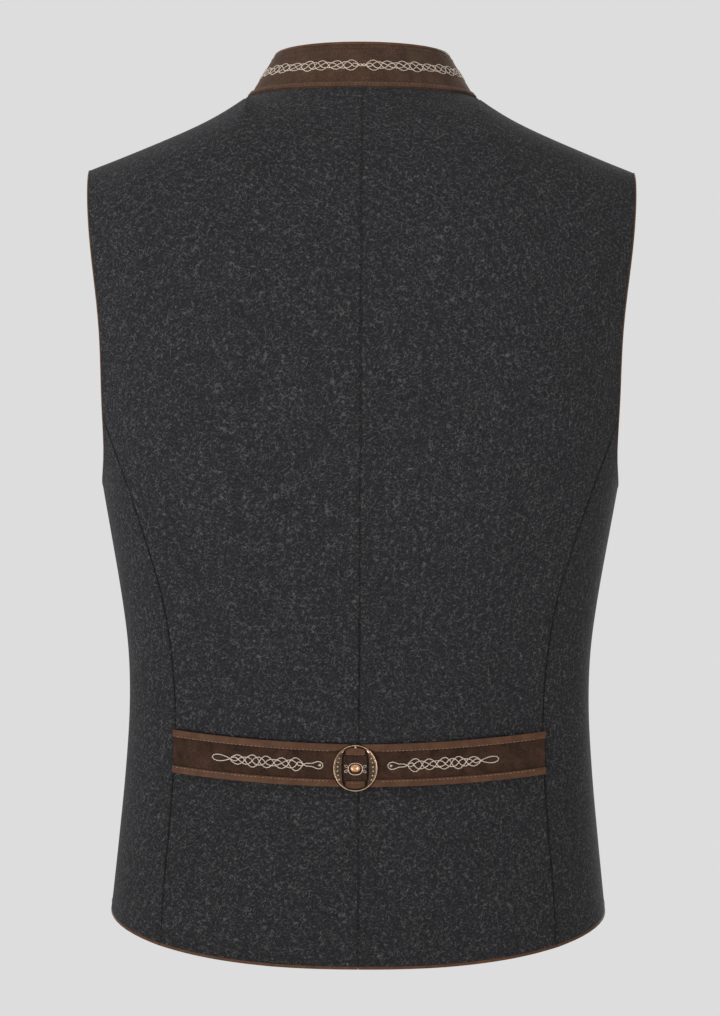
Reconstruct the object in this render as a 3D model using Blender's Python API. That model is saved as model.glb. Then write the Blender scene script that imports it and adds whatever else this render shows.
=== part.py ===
"""Embroidered folk vest: wool panels on a worn form, suede collar, and a back belt with a metal ring."""
import math

import bmesh
import bpy
import numpy as np
from mathutils import Vector

# Thicknesses and the small distances between pieces
WOOL = 0.0022
SUEDE = 0.0020
COLLAR_WALL = 0.0024
STRIP = 0.0010
GAP = 0.0003

# Worn form, a ring per row
RINGS = (
    # height, half_width, depth_behind, depth_before, squareness
    (-0.650, 0.1900, 0.1075, 0.1240, 2.35),
    (-0.600, 0.1845, 0.1060, 0.1230, 2.35),
    (-0.550, 0.1794, 0.1010, 0.1210, 2.35),
    (-0.500, 0.1749, 0.0930, 0.1190, 2.35),
    (-0.450, 0.1723, 0.0870, 0.1180, 2.35),
    (-0.410, 0.1736, 0.0870, 0.1190, 2.35),
    (-0.370, 0.1789, 0.0920, 0.1220, 2.35),
    (-0.330, 0.1857, 0.0995, 0.1260, 2.38),
    (-0.290, 0.1927, 0.1065, 0.1300, 2.40),
    (-0.240, 0.2005, 0.1130, 0.1320, 2.40),
    (-0.190, 0.2080, 0.1165, 0.1290, 2.40),
    (-0.140, 0.2155, 0.1150, 0.1190, 2.40),
    (-0.090, 0.2220, 0.1090, 0.1030, 2.40),
)
HEM_AT_SIDE = -0.6022
HEM_DROP_BEHIND = 0.0247
HEM_DROP_BEFORE = 0.0160
HEM_BEND = 1.65

# Side-back seam, from below the hem up to the armhole
SEAM = (
    # height, x
    (-0.650, 0.1430),
    (-0.585, 0.1402),
    (-0.535, 0.1362),
    (-0.497, 0.1338),
    (-0.462, 0.1328),
    (-0.440, 0.1335),
    (-0.416, 0.1356),
    (-0.396, 0.1382),
    (-0.366, 0.1440),
    (-0.347, 0.1496),
    (-0.324, 0.1568),
    (-0.298, 0.1657),
    (-0.272, 0.1755),
    (-0.2415, 0.1875),
)
SEAM_TOP = -0.2415

# Armholes
ARMHOLE_BEHIND = (
    # height, x
    (-0.2415, 0.1875),
    (-0.2200, 0.1880),
    (-0.1910, 0.1880),
    (-0.1620, 0.1899),
    (-0.1300, 0.1938),
)
ARMHOLE_BEFORE = (
    # height, x
    (-0.2620, 0.1815),
    (-0.2350, 0.1745),
    (-0.2050, 0.1705),
    (-0.1750, 0.1700),
    (-0.1500, 0.1716),
)
ARMHOLE_LOW = -0.2910
ARMHOLE_LOW_AT = 0.50
ARMHOLE_BOW = 2.4
ARMHOLE_FRONT = -0.2620

# Shoulders: the ridge between the neck and the armhole
RIDGE = (
    # x, height
    (0.0862, -0.0028),
    (0.1000, -0.0104),
    (0.1315, -0.0248),
    (0.1670, -0.0390),
    (0.2036, -0.0530),
)
RIDGE_Y = -0.005
FLARE = 0.0040
FLARE_REACH = 0.0200
TIP_X = 0.2036
ROLL_BEHIND = -0.130
ROLL_BEFORE = -0.150
ROLL_REACH = 0.50
NECK_REACH_BEHIND = 0.34
NECK_REACH_BEFORE = 0.30
RIDGE_LIMITS = (-0.05, 0.25)
ARMHOLE_LEAN = 0.10

# Neck seam and the stand collar on it
NECK_HALF = 0.0862
NECK_BEHIND = 0.0700
NECK_BEFORE = 0.0830
NECK_BACK_Z = -0.0023
NECK_SIDE_Z = 0.0012
NECK_FRONT_Z = -0.0780
NECK_FRONT_BEND = 1.8
COLLAR_HALF = 0.0670
COLLAR_BEHIND = 0.0545
COLLAR_BEFORE = 0.0720
COLLAR_BACK_Z = 0.0322
COLLAR_SIDE_Z = 0.0330
COLLAR_FRONT_Z = -0.0400
COLLAR_END_COLUMN = 3
COLLAR_ROUND = 3
COLLAR_BINDING = 0.0021
FOOT_STRIP = 0.0032
FOOT_STRIP_START = 0.0012

# Front closure
LAP = 0.0120
LAP_FULL = 0.0210
LAP_BLEND = 0.0400
BUTTON_RADIUS = 0.0085
BUTTON_HEIGHT = 0.0050
BUTTON_TOP_Z = -0.105
BUTTON_STEP = 0.090
BUTTON_COUNT = 6

# Bindings
ARMHOLE_BINDING = 0.0012
HEM_BINDING = 0.0020
BINDING_PROUD = 0.00015

# Back belt
BELT_MID_Z = -0.4882
BELT_END_RISE = 0.0070
BELT_HALF_MID = 0.0145
BELT_HALF_END = 0.0149
BELT_EDGE = 0.0048
BELT_EDGE_LIFT = 0.0004
BELT_END_CLEAR = 0.0004

# Ring, bridge and rivet
RING_X = 0.0025
RING_Z = -0.4900
RING_HALF_X = 0.0158
RING_HALF_Z = 0.0165
RING_RIM = 0.0014
RING_CLEAR = 0.0006
RING_CLEAR_LEAST = 0.0035
OPENING_HALF = 0.0099
OPENING_WAIST = 0.19
RING_HEIGHT = 0.0024
BRIDGE_HALF_X = 0.0082
BRIDGE_EDGE_HALF = 0.0069
BRIDGE_TOP = 0.0090
BRIDGE_FOOT = 0.0088
BRIDGE_CLEAR = 0.0007
BRIDGE_WALL = 0.0014
RIVET_HALF_X = 0.0038
RIVET_HALF_Z = 0.0031
RIVET_HEIGHT = 0.0020

# Mesh steps
NECK_STEPS = 8
SHOULDER_STEPS = 6
SIDE_STEPS = 9
BODY_STEPS = 21
ARM_STEPS_BEHIND = 6
ARM_STEPS_BEFORE = 6
ROLL_STEPS = 10
BELT_STEPS = 16

COLOURS = {
    "wool_charcoal": (0.033, 0.033, 0.035),
    "suede_brown": (0.070, 0.040, 0.028),
    "leather_brown": (0.130, 0.075, 0.050),
    "brass_antique": (0.300, 0.200, 0.120),
    "copper_rivet": (0.500, 0.280, 0.180),
}
METALS = ("brass_antique", "copper_rivet")


def clear_scene():
    """Takes away whatever the new file starts with."""
    for item in list(bpy.data.objects):
        bpy.data.objects.remove(item, do_unlink=True)


def material(name):
    """The node's own plain material."""
    mat = bpy.data.materials.get(name)
    if mat:
        return mat
    mat = bpy.data.materials.new(name)
    mat.use_nodes = True
    shader = mat.node_tree.nodes["Principled BSDF"]
    shader.inputs["Base Color"].default_value = (*COLOURS[name], 1.0)
    shader.inputs["Metallic"].default_value = 1.0 if name in METALS else 0.0
    shader.inputs["Roughness"].default_value = 0.4 if name in METALS else 0.85
    return mat


def add_object(name, bm, slot):
    """Turns a closed bmesh into a named object with one material."""
    bmesh.ops.recalc_face_normals(bm, faces=bm.faces[:])
    mesh = bpy.data.meshes.new(name)
    bm.to_mesh(mesh)
    bm.free()
    item = bpy.data.objects.new(name, mesh)
    item.data.materials.append(material(slot))
    bpy.context.scene.collection.objects.link(item)
    return item


def smooth(table, column, at):
    """Cubic curve through one column of a table, held at its ends."""
    keys = np.array([row[0] for row in table])
    values = np.array([row[column] for row in table])
    slopes = np.gradient(values, keys)
    at = min(max(at, keys[0]), keys[-1])
    i = min(int(np.searchsorted(keys, at, side="right")) - 1, len(keys) - 2)
    step = keys[i + 1] - keys[i]
    t = (at - keys[i]) / step
    near = (1 + 2 * t) * (1 - t) ** 2 * values[i] + t * (1 - t) ** 2 * step * slopes[i]
    far = t * t * (3 - 2 * t) * values[i + 1] + t * t * (t - 1) * step * slopes[i + 1]
    return float(near + far)


def mix(a, b, t):
    return a + (b - a) * t


def ease(t):
    t = min(max(t, 0.0), 1.0)
    return t * t * (3 - 2 * t)


def ring_line(z):
    """Half of the form's outline at one height, centre back to centre front, with lengths along it."""
    width, behind, before, square = (smooth(RINGS, i, z) for i in (1, 2, 3, 4))
    turn = np.linspace(0.0, math.pi / 2, 80)
    power = 2 / square
    side = np.sin(turn) ** power
    level = np.abs(np.cos(turn)) ** power
    x = np.concatenate((width * side, (width * level)[1:]))
    y = np.concatenate((behind * level, (-before * side)[1:]))
    steps = np.hypot(np.diff(x), np.diff(y))
    return x, y, np.concatenate(((0.0,), np.cumsum(steps)))


def on_ring(z, length):
    """The point of the form at one height and one length from the centre back."""
    x, y, along = ring_line(z)
    whole = along[-1]
    if length > whole:
        back = 2 * whole - length
        return Vector((-float(np.interp(back, along, x)), float(np.interp(back, along, y)), z))
    return Vector((float(np.interp(length, along, x)), float(np.interp(length, along, y)), z))


def length_behind(z, at_x):
    x, _, along = ring_line(z)
    half = len(x) // 2 + 1
    return float(np.interp(at_x, x[:half], along[:half]))


def length_before(z, at_x):
    x, _, along = ring_line(z)
    half = len(x) // 2
    return float(np.interp(-at_x, -x[half:], along[half:]))


def ring_length(z):
    return float(ring_line(z)[2][-1])


def hem_height(share):
    """Hem height at a share of the half ring, 0 at the centre back and 1 at the centre front."""
    at = HEM_AT_SIDE - 0.01
    point = on_ring(at, ring_length(at) * share)
    if point.y > 0:
        return HEM_AT_SIDE - HEM_DROP_BEHIND * (point.y / smooth(RINGS, 2, at)) ** HEM_BEND
    return HEM_AT_SIDE - HEM_DROP_BEFORE * (-point.y / smooth(RINGS, 3, at)) ** HEM_BEND


def edge_behind(z):
    """Length along the ring of the back panel's outer edge: seam below, armhole above."""
    table = SEAM if z < SEAM_TOP else ARMHOLE_BEHIND
    return length_behind(z, smooth(table, 1, z))


def neck_point(turn, front):
    """Neck seam: turn 0 at the centre, 90 degrees at the shoulder."""
    x = NECK_HALF * math.sin(turn)
    if front:
        y = RIDGE_Y - NECK_BEFORE * math.cos(turn)
        z = mix(NECK_SIDE_Z, NECK_FRONT_Z, math.cos(turn) ** NECK_FRONT_BEND)
    else:
        y = RIDGE_Y + NECK_BEHIND * math.cos(turn)
        z = mix(NECK_BACK_Z, NECK_SIDE_Z, math.sin(turn) ** 2)
    return Vector((x, y, z))


def neck_turns(front):
    """Turns of the panel columns that end on the neck seam."""
    start = -LAP / NECK_HALF if front else GAP / 2 / NECK_HALF
    return np.linspace(start, math.pi / 2, NECK_STEPS + 1)


def top_line(front):
    """Points, flares, leaving directions and reaches along the panel's top: neck seam, then shoulder."""
    turns = neck_turns(front)
    neck_reach = NECK_REACH_BEFORE if front else NECK_REACH_BEHIND
    way = 1 if front else -1
    points, flares, leaving, reaches = [], [], [], []
    for turn in turns:
        near = math.sin(turn) ** 2
        points.append(neck_point(turn, front))
        flares.append(FLARE * near)
        leaving.append(Vector((0, way, 0)))
        reaches.append(mix(neck_reach, ROLL_REACH, near))
    for x in np.linspace(NECK_HALF, TIP_X, SHOULDER_STEPS + 1)[1:]:
        near = max(1 - (x - NECK_HALF) / FLARE_REACH, 0.0)
        flares.append(FLARE * near ** 2)
        points.append(Vector((x, RIDGE_Y, smooth(RIDGE, 1, x) + flares[-1])))
        leaving.append(Vector((ARMHOLE_LEAN * (x - NECK_HALF) / (TIP_X - NECK_HALF), way, 0)).normalized())
        reaches.append(ROLL_REACH)
    return list(zip(seam_side(points, leaving), flares, leaving, reaches))


def on_curve(curve, t):
    a, b, c, d = curve
    return a * (1 - t) ** 3 + b * 3 * t * (1 - t) ** 2 + c * 3 * t * t * (1 - t) + d * t ** 3


def arch(low, rising, top, flare, leaving, reach):
    """Cubic curve from the wall up over to a ridge point, which flares up near the neck."""
    span = (top - low).length * reach
    return low, low + rising * span, top - leaving * span - Vector((0, 0, flare)), top


def share_at(curve, y):
    """Share of a curve at which it reaches one depth."""
    low, high = 0.0, 1.0
    rising = curve[3].y > curve[0].y
    for _ in range(30):
        middle = (low + high) / 2
        if (on_curve(curve, middle).y < y) == rising:
            low = middle
        else:
            high = middle
    return (low + high) / 2


def roll(low, rising, station):
    """Points from the wall up to the top line.

    Under the neck, the curve aims at a ridge that the neck cuts off.
    """
    top, flare, leaving, reach = station
    rising = rising.normalized()
    curve, end = arch(low, rising, top, flare, leaving, reach), 1.0
    if abs(top.y - RIDGE_Y) > GAP:
        under, over = RIDGE_LIMITS
        for _ in range(40):
            height = (under + over) / 2
            curve = arch(low, rising, Vector((top.x, RIDGE_Y, height)), flare, leaving, reach)
            end = share_at(curve, top.y)
            if on_curve(curve, end).z < top.z:
                under = height
            else:
                over = height
    points = []
    for t in np.linspace(0.0, 1.0, ROLL_STEPS + 1)[1:]:
        point = on_curve(curve, t * end)
        if end < 1.0:
            point.x = mix(low.x, top.x, t)
        points.append(point)
    points[-1] = top.copy()
    return points


def seam_side(points, leaving):
    """Keeps the top of a panel half a gap off the shoulder seam and the collar."""
    return [p - d * (GAP / 2) for p, d in zip(points, leaving)]


def heights(low, *stops):
    """Row heights from the hem through each stop: (height, steps)."""
    rows = [low]
    for height, steps in stops:
        start = rows[-1]
        rows += [mix(start, height, (i + 1) / steps) for i in range(steps)]
    return rows


def back_grid():
    """Outer points of the back panel, a list of rows from hem to top, centre to edge."""
    stations = top_line(False)
    shares = [station[0].x / TIP_X for station in stations]
    shares[0] = 0.0
    columns = []

    def at(z, share):
        inner = GAP / 2
        outer = edge_behind(z) - GAP / 2
        return on_ring(z, mix(inner, outer, share))

    for share, station in zip(shares, stations):
        start = share * edge_behind(-0.61) / ring_length(-0.61)
        rows = heights(hem_height(start), (SEAM_TOP, BODY_STEPS), (ROLL_BEHIND, ARM_STEPS_BEHIND))
        column = [at(z, share) for z in rows]
        rising = column[-1] - at(ROLL_BEHIND - 0.012, share)
        columns.append(column + roll(column[-1], rising, station))
    return [list(row) for row in zip(*columns)]


def armhole_floor(share):
    """Height of the armhole's lower edge between the seam (0) and the front (1)."""
    if share < ARMHOLE_LOW_AT:
        side = (ARMHOLE_LOW_AT - share) / ARMHOLE_LOW_AT
        return ARMHOLE_LOW + (SEAM_TOP - ARMHOLE_LOW) * side ** ARMHOLE_BOW
    side = (share - ARMHOLE_LOW_AT) / (1 - ARMHOLE_LOW_AT)
    return ARMHOLE_LOW + (ARMHOLE_FRONT - ARMHOLE_LOW) * side ** ARMHOLE_BOW


def front_grid():
    """Outer points of a front panel: rows from hem to top, columns from the centre front to the seam.

    Columns past the front armhole end at the armhole floor, so upper rows are shorter.
    """
    stations = top_line(True)
    span = TIP_X + LAP
    shares = [(station[0].x + LAP) / span for station in stations]
    turn_share = 1 - length_before(ARMHOLE_FRONT, ARMHOLE_BEFORE[0][1]) / ring_length(ARMHOLE_FRONT)

    def edge(z):
        whole = ring_length(z)
        if z < ARMHOLE_FRONT:
            return whole * (1 - turn_share)
        return length_before(z, smooth(ARMHOLE_BEFORE, 1, z))

    def at(z, share):
        whole = ring_length(z)
        return on_ring(z, mix(whole + LAP, edge(z), share))

    columns = []
    for share, station in zip(shares, stations):
        hem = hem_height(min(1.0, 1 - turn_share * share))
        rows = heights(hem, (ARMHOLE_FRONT, BODY_STEPS), (ROLL_BEFORE, ARM_STEPS_BEFORE))
        column = [at(z, share) for z in rows]
        rising = column[-1] - at(ROLL_BEFORE - 0.012, share)
        columns.append(column + roll(column[-1], rising, station))

    for step in range(1, SIDE_STEPS + 1):
        share = step / SIDE_STEPS
        start = mix(1 - turn_share, edge_behind(-0.61) / ring_length(-0.61), share)
        column = []
        for z in heights(hem_height(start), (armhole_floor(1 - share), BODY_STEPS)):
            seam = edge_behind(min(z, SEAM_TOP - 1e-6)) + GAP / 2
            column.append(on_ring(z, mix(ring_length(z) * (1 - turn_share), seam, share)))
        columns.append(column)
    depth = len(columns[0])
    return [[column[r] for column in columns if len(column) > r] for r in range(depth)]


def sheet(rows):
    """A bmesh of quads between rows, and its vertices. Shorter rows leave their last columns open."""
    bm = bmesh.new()
    grid = [[bm.verts.new(p) for p in row] for row in rows]
    for low, high in zip(grid, grid[1:]):
        for c in range(min(len(low), len(high)) - 1):
            bm.faces.new((low[c], low[c + 1], high[c + 1], high[c]))
    bm.normal_update()
    return bm, grid


def face_out(bm, grid, centre):
    """Turns all faces so that they look away from the centre point."""
    vert = grid[len(grid) // 2][len(grid[0]) // 3]
    if vert.normal.dot(vert.co - centre) < 0:
        bmesh.ops.reverse_faces(bm, faces=bm.faces[:])
        bm.normal_update()


def close_wall(bm, inner_of, outer_of=None):
    """Closes an open sheet into a wall: inner copy, and a rim along every open edge."""
    outer = list(bm.verts)
    faces = list(bm.faces)
    rim = [e for e in bm.edges if len(e.link_faces) == 1]
    inner = {v: bm.verts.new(inner_of(v)) for v in outer}
    moved = {v: outer_of(v) for v in outer} if outer_of else {}
    for face in faces:
        bm.faces.new([inner[v] for v in reversed(face.verts)])
    for edge in rim:
        face = edge.link_faces[0]
        a, b = edge.verts
        order = list(face.verts)
        if order[(order.index(a) + 1) % len(order)] is not b:
            a, b = b, a
        bm.faces.new((b, a, inner[a], inner[b]))
    for v, place in moved.items():
        v.co = place
    return bm


def mirrored(rows):
    return [[Vector((-p.x, p.y, p.z)) for p in row] for row in rows]


def ring_value(x, y, z):
    """Below 1 inside the form and above 1 outside it."""
    depth = smooth(RINGS, 2 if y > 0 else 3, z)
    square = smooth(RINGS, 4, z)
    return (abs(x) / smooth(RINGS, 1, z)) ** square + (abs(y) / depth) ** square


def form_normal(p):
    """Outward direction of the form's wall at a point."""
    d = 0.0005
    slopes = []
    for axis in (Vector((d, 0, 0)), Vector((0, d, 0)), Vector((0, 0, d))):
        slopes.append(ring_value(*(p + axis)) - ring_value(*(p - axis)))
    return Vector(slopes).normalized()


def outward(bm, grid):
    """Point and outward direction of each vertex, square to the shoulder seam and the centre back."""
    face_out(bm, grid, Vector((0, 0, grid[len(grid) // 2][0].co.z)))
    place = {v: (v.co.copy(), v.normal.copy()) for v in bm.verts}
    for v in bm.verts:
        if v.co.z < ROLL_BEFORE - 0.005:
            place[v] = (v.co.copy(), form_normal(v.co))
    for v in grid[-1][NECK_STEPS:]:
        normal = v.normal
        place[v] = (v.co.copy(), Vector((normal.x, 0, normal.z)).normalized())
    for row in grid:
        normal = row[0].normal
        place[row[0]] = (row[0].co.copy(), Vector((0, normal.y, normal.z)).normalized())
    return place


def frames(rows):
    """Points and outward directions of a grid, row by row."""
    bm, grid = sheet(rows)
    place = outward(bm, grid)
    out = [[place[v] for v in row] for row in grid]
    bm.free()
    return out


def panel(name, rows, lift=None):
    """A wool panel: a wall inwards from its outer points, lifted where it laps over another."""
    bm, grid = sheet(rows)
    place = outward(bm, grid)
    raise_by = {v: (lift(v.co) if lift else 0.0) for v in bm.verts}
    close_wall(
        bm,
        lambda v: place[v][0] + place[v][1] * (raise_by[v] - WOOL),
        lambda v: place[v][0] + place[v][1] * raise_by[v],
    )
    return add_object(name, bm, "wool_charcoal")


def lap_lift(point):
    """How far the left front is lifted over the right one near the centre front."""
    if point.y > 0:
        return 0.0
    return (WOOL + GAP) * ease((LAP_BLEND - point.x) / (LAP_BLEND - LAP_FULL))


def bar(name, points, slot, closed=False):
    """A bar swept through four-cornered stations; each station is its list of corners."""
    bm = bmesh.new()
    loops = [[bm.verts.new(p) for p in station] for station in points]
    pairs = list(zip(loops, loops[1:])) + ([(loops[-1], loops[0])] if closed else [])
    for one, two in pairs:
        count = len(one)
        for i in range(count):
            bm.faces.new((one[i], one[(i + 1) % count], two[(i + 1) % count], two[i]))
    if not closed:
        bm.faces.new(loops[0])
        bm.faces.new(loops[-1])
    return add_object(name, bm, slot)


def edge_bar(name, line, away, width, wall, slot, closed=False, lift=None):
    """A binding along an edge: line holds (point, outward), away gives the direction off the cloth."""
    stations = []
    count = len(line)
    for i, (point, out) in enumerate(line):
        before = line[i - 1][0] if (closed or i > 0) else point
        after = line[(i + 1) % count][0] if (closed or i < count - 1) else point
        along = (after - before).normalized()
        off = along.cross(out).normalized()
        if off.dot(away(point)) < 0:
            off = -off
        up = lift(point) if lift else 0.0
        high = out * (BINDING_PROUD + up)
        low = -out * (wall - up)
        near = point + off * GAP
        far = point + off * (GAP + width)
        stations.append([near + high, far + high * 0.5, far + low, near + low])
    return bar(name, stations, slot, closed)


def shorten(line, at_start, at_end):
    """Draws the ends of a line in by the given distances, so that joined bindings stay apart."""
    line = list(line)
    for index, inner, distance in ((0, 1, at_start), (-1, -2, at_end)):
        point, out = line[index]
        way = (line[inner][0] - point).normalized()
        line[index] = (point + way * distance, out)
    return line


def flip_line(line):
    return [(Vector((-p.x, p.y, p.z)), Vector((-n.x, n.y, n.z))) for p, n in line]


def armhole_line(back, front):
    """The armhole's edge as one closed line, from the seam up the back, over the shoulder and round."""
    columns = NECK_STEPS + SHOULDER_STEPS
    up = [row[-1] for row in back[BODY_STEPS:]]
    down = [row[columns] for row in reversed(front[BODY_STEPS:])]
    floor = front[BODY_STEPS][columns + 1:]
    tip = (up[-1][0].lerp(down[0][0], 0.5), (up[-1][1] + down[0][1]).normalized())
    foot = (up[0][0].lerp(floor[-1][0], 0.5), (up[0][1] + floor[-1][1]).normalized())
    return [foot] + up[1:-1] + [tip] + down[1:] + floor[:-1]


def make_body():
    """The four wool panels with their hem and armhole bindings."""
    back = back_grid()
    front = front_grid()
    panel("back_left", back)
    panel("back_right", mirrored(back))
    panel("front_left", front, lap_lift)
    panel("front_right", mirrored(front))
    back_frames = frames(back)
    front_frames = frames(front)
    loop = armhole_line(back_frames, front_frames)
    centre = Vector((TIP_X * 0.95, RIDGE_Y, -0.17))
    hems = {"back": back_frames[0], "front": front_frames[0]}
    for side in ("left", "right"):
        sign = 1 if side == "left" else -1
        lines = {key: (line if sign > 0 else flip_line(line)) for key, line in hems.items()}
        hub = Vector((sign * centre.x, centre.y, centre.z))
        arm = loop if sign > 0 else flip_line(loop)
        edge_bar(f"armhole_binding_{side}", arm, lambda p, h=hub: h - p, ARMHOLE_BINDING, WOOL,
                 "leather_brown", closed=True)
        edge_bar(f"hem_binding_back_{side}", lines["back"], lambda p: Vector((0, 0, -1)),
                 HEM_BINDING, WOOL, "leather_brown")
        lift = lap_lift if sign > 0 else None
        edge_bar(f"hem_binding_front_{side}", lines["front"], lambda p: Vector((0, 0, -1)),
                 HEM_BINDING, WOOL, "leather_brown", lift=lift)


def collar_edges(turn, front):
    """Foot and top of the collar at one turn, 0 at the centre and 90 degrees at the side."""
    foot = neck_point(turn, front)
    x = COLLAR_HALF * math.sin(turn)
    if front:
        y = RIDGE_Y - COLLAR_BEFORE * math.cos(turn)
        z = mix(COLLAR_SIDE_Z, COLLAR_FRONT_Z, math.cos(turn) ** NECK_FRONT_BEND)
    else:
        y = RIDGE_Y + COLLAR_BEHIND * math.cos(turn)
        z = mix(COLLAR_BACK_Z, COLLAR_SIDE_Z, math.sin(turn) ** 2)
    return foot, Vector((x, y, z))


def collar_end_share(steps_left):
    """Share of the collar's height left near its rounded front end."""
    past = 1 - min(steps_left / COLLAR_ROUND, 1.0)
    return mix(0.35, 1.0, math.sqrt(max(1 - past * past, 0.0)))


def with_middles(pairs):
    """Adds a station halfway between each two, so that the foot stays on the panels' own edge."""
    out = [pairs[0]]
    for (foot, top), (next_foot, next_top) in zip(pairs, pairs[1:]):
        out.append((foot.lerp(next_foot, 0.5), top.lerp(next_top, 0.5)))
        out.append((next_foot, next_top))
    return out


def collar_stations():
    """(foot, top) pairs from the left front end round the back to the right front end."""
    half = [collar_edges(t, False) for t in neck_turns(False)]
    half[0] = tuple(Vector((0, p.y, p.z)) for p in half[0])
    front = list(neck_turns(True))[COLLAR_END_COLUMN:-1]
    half += [collar_edges(t, True) for t in reversed(front)]
    left = with_middles(half)
    last = len(left) - 1
    left = [(foot, foot.lerp(top, collar_end_share(last - i))) for i, (foot, top) in enumerate(left)]
    right = [(Vector((-a.x, a.y, a.z)), Vector((-b.x, b.y, b.z))) for a, b in left[1:]]
    return list(reversed(left)) + right


def collar_share_rows(shares):
    return [[foot.lerp(top, s) for foot, top in collar_stations()] for s in shares]


def collar_foot_rows():
    """Lower and upper row of the strip along the collar's foot."""
    low, high = [], []
    for foot, top in collar_stations():
        way = (top - foot).normalized()
        low.append(foot + way * FOOT_STRIP_START)
        high.append(foot + way * (FOOT_STRIP_START + FOOT_STRIP))
    return [low, high]


def make_collar():
    """Stand collar, its top bindings and the strip along its foot."""
    rows = collar_share_rows((0.012, 0.26, 0.5, 0.75, 1.0))
    bm, grid = sheet(rows)
    face_out_flat(bm, grid)
    place = {v: (v.co.copy(), v.normal.copy()) for v in bm.verts}
    close_wall(bm, lambda v: place[v][0] - place[v][1] * COLLAR_WALL)
    add_object("collar_stand", bm, "suede_brown")

    bm, grid = sheet(rows)
    face_out_flat(bm, grid)
    top = [(v.co.copy(), v.normal.copy()) for v in grid[-1]]
    bm.free()
    middle = len(top) // 2
    for side, line in (("left", top[:middle + 1]), ("right", top[middle:])):
        drawn = shorten(line, 0.0 if side == "left" else GAP / 2, GAP / 2 if side == "left" else 0.0)
        edge_bar(f"collar_binding_{side}", drawn, lambda p: Vector((0, 0, 1)), COLLAR_BINDING,
                 COLLAR_WALL, "leather_brown")

    bm, grid = sheet(collar_foot_rows())
    face_out_flat(bm, grid)
    place = {v: (v.co.copy(), v.normal.copy()) for v in bm.verts}
    close_wall(
        bm,
        lambda v: place[v][0] + place[v][1] * GAP,
        lambda v: place[v][0] + place[v][1] * (GAP + STRIP),
    )
    add_object("collar_foot_strip", bm, "leather_brown")


def face_out_flat(bm, grid):
    """Turns a collar sheet to look away from the neck's axis."""
    vert = grid[0][len(grid[0]) // 2]
    away = Vector((vert.co.x, vert.co.y, 0))
    if vert.normal.dot(away) < 0:
        bmesh.ops.reverse_faces(bm, faces=bm.faces[:])
        bm.normal_update()


def wall_point(x, z):
    """A point on the back wall of the form."""
    width, depth, square = (smooth(RINGS, column, z) for column in (1, 2, 4))
    return Vector((x, depth * (1 - min(abs(x) / width, 1.0) ** square) ** (1 / square), z))


def on_wall(x, z, out):
    """A point moved out of the wall by a distance."""
    d = 0.002
    across = wall_point(x + d, z) - wall_point(x - d, z)
    upward = wall_point(x, z + d) - wall_point(x, z - d)
    normal = across.cross(upward).normalized()
    if normal.y < 0:
        normal = -normal
    return wall_point(x, z) + normal * out


def laid_plate(name, plan, low, high, slot):
    """A plate lying on the back wall: plan holds rows of (x, z)."""
    bm, grid = sheet([[on_wall(x, z, high) for x, z in row] for row in plan])
    keys = {}
    for row, verts in zip(plan, grid):
        for place, vert in zip(row, verts):
            keys[vert] = place
    if grid[0][0].normal.y < 0:
        bmesh.ops.reverse_faces(bm, faces=bm.faces[:])
    close_wall(bm, lambda v: on_wall(*keys[v], low))
    return add_object(name, bm, slot)


def belt_shape(x):
    """Middle height and half height of the belt at one x."""
    reach = abs(x) / 0.132
    middle = BELT_MID_Z + BELT_END_RISE * reach ** 1.7
    return middle, mix(BELT_HALF_MID, BELT_HALF_END, reach)


def ring_reach(height):
    """How far a belt strip keeps from the ring's middle, at one height from it."""
    inside = max(1 - (height / RING_HALF_Z) ** 2, 0.0)
    return max(RING_HALF_X * math.sqrt(inside) + RING_CLEAR, RING_CLEAR_LEAST)


def belt_rows(start, end, low, high, steps):
    """Plan rows of a belt strip between two heights from the belt's middle, which follow its half height.

    Start gives where a row begins, from its height on the ring.
    """
    rows = []
    middle, half = belt_shape(RING_X)
    for i in range(steps + 1):
        first = start(middle + mix(low(half), high(half), i / steps) - RING_Z)
        row = []
        for x in np.linspace(first, end, BELT_STEPS + 1):
            here, tall = belt_shape(x)
            row.append((x, here + mix(low(tall), high(tall), i / steps)))
        rows.append(row)
    return rows


def make_belt():
    """Belt halves, their edge strips, the ring, the bridge and the rivet."""
    under = GAP
    top = GAP + SUEDE
    for side, sign in (("left", 1), ("right", -1)):
        end = sign * (smooth(SEAM, 1, BELT_MID_Z + BELT_END_RISE) - BELT_END_CLEAR)
        middle = belt_rows(lambda z, s=sign: RING_X + s * GAP / 2, end, lambda h: -h, lambda h: h, 3)
        laid_plate(f"belt_{side}", middle, under, top, "suede_brown")
        beside = lambda z, s=sign: RING_X + s * ring_reach(z)
        upper = belt_rows(beside, end, lambda h: h - BELT_EDGE, lambda h: h + BELT_EDGE_LIFT, 2)
        lower = belt_rows(beside, end, lambda h: -h - BELT_EDGE_LIFT, lambda h: BELT_EDGE - h, 2)
        laid_plate(f"belt_edge_top_{side}", upper, top + GAP, top + GAP + STRIP, "leather_brown")
        laid_plate(f"belt_edge_foot_{side}", lower, top + GAP, top + GAP + STRIP, "leather_brown")
    make_bridge(top + GAP)
    make_ring(top + GAP)


def grid_plan(x0, x1, z0, z1, nx, nz):
    return [[(x, z) for x in np.linspace(x0, x1, nx + 1)] for z in np.linspace(z0, z1, nz + 1)]


def bridge_end(x):
    """Height above the ring's middle at which the bridge meets the ring's rim."""
    rim_x, rim_z = RING_HALF_X - RING_RIM, RING_HALF_Z - RING_RIM
    return (rim_z - BRIDGE_CLEAR) * math.sqrt(1 - (x / rim_x) ** 2)


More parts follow.
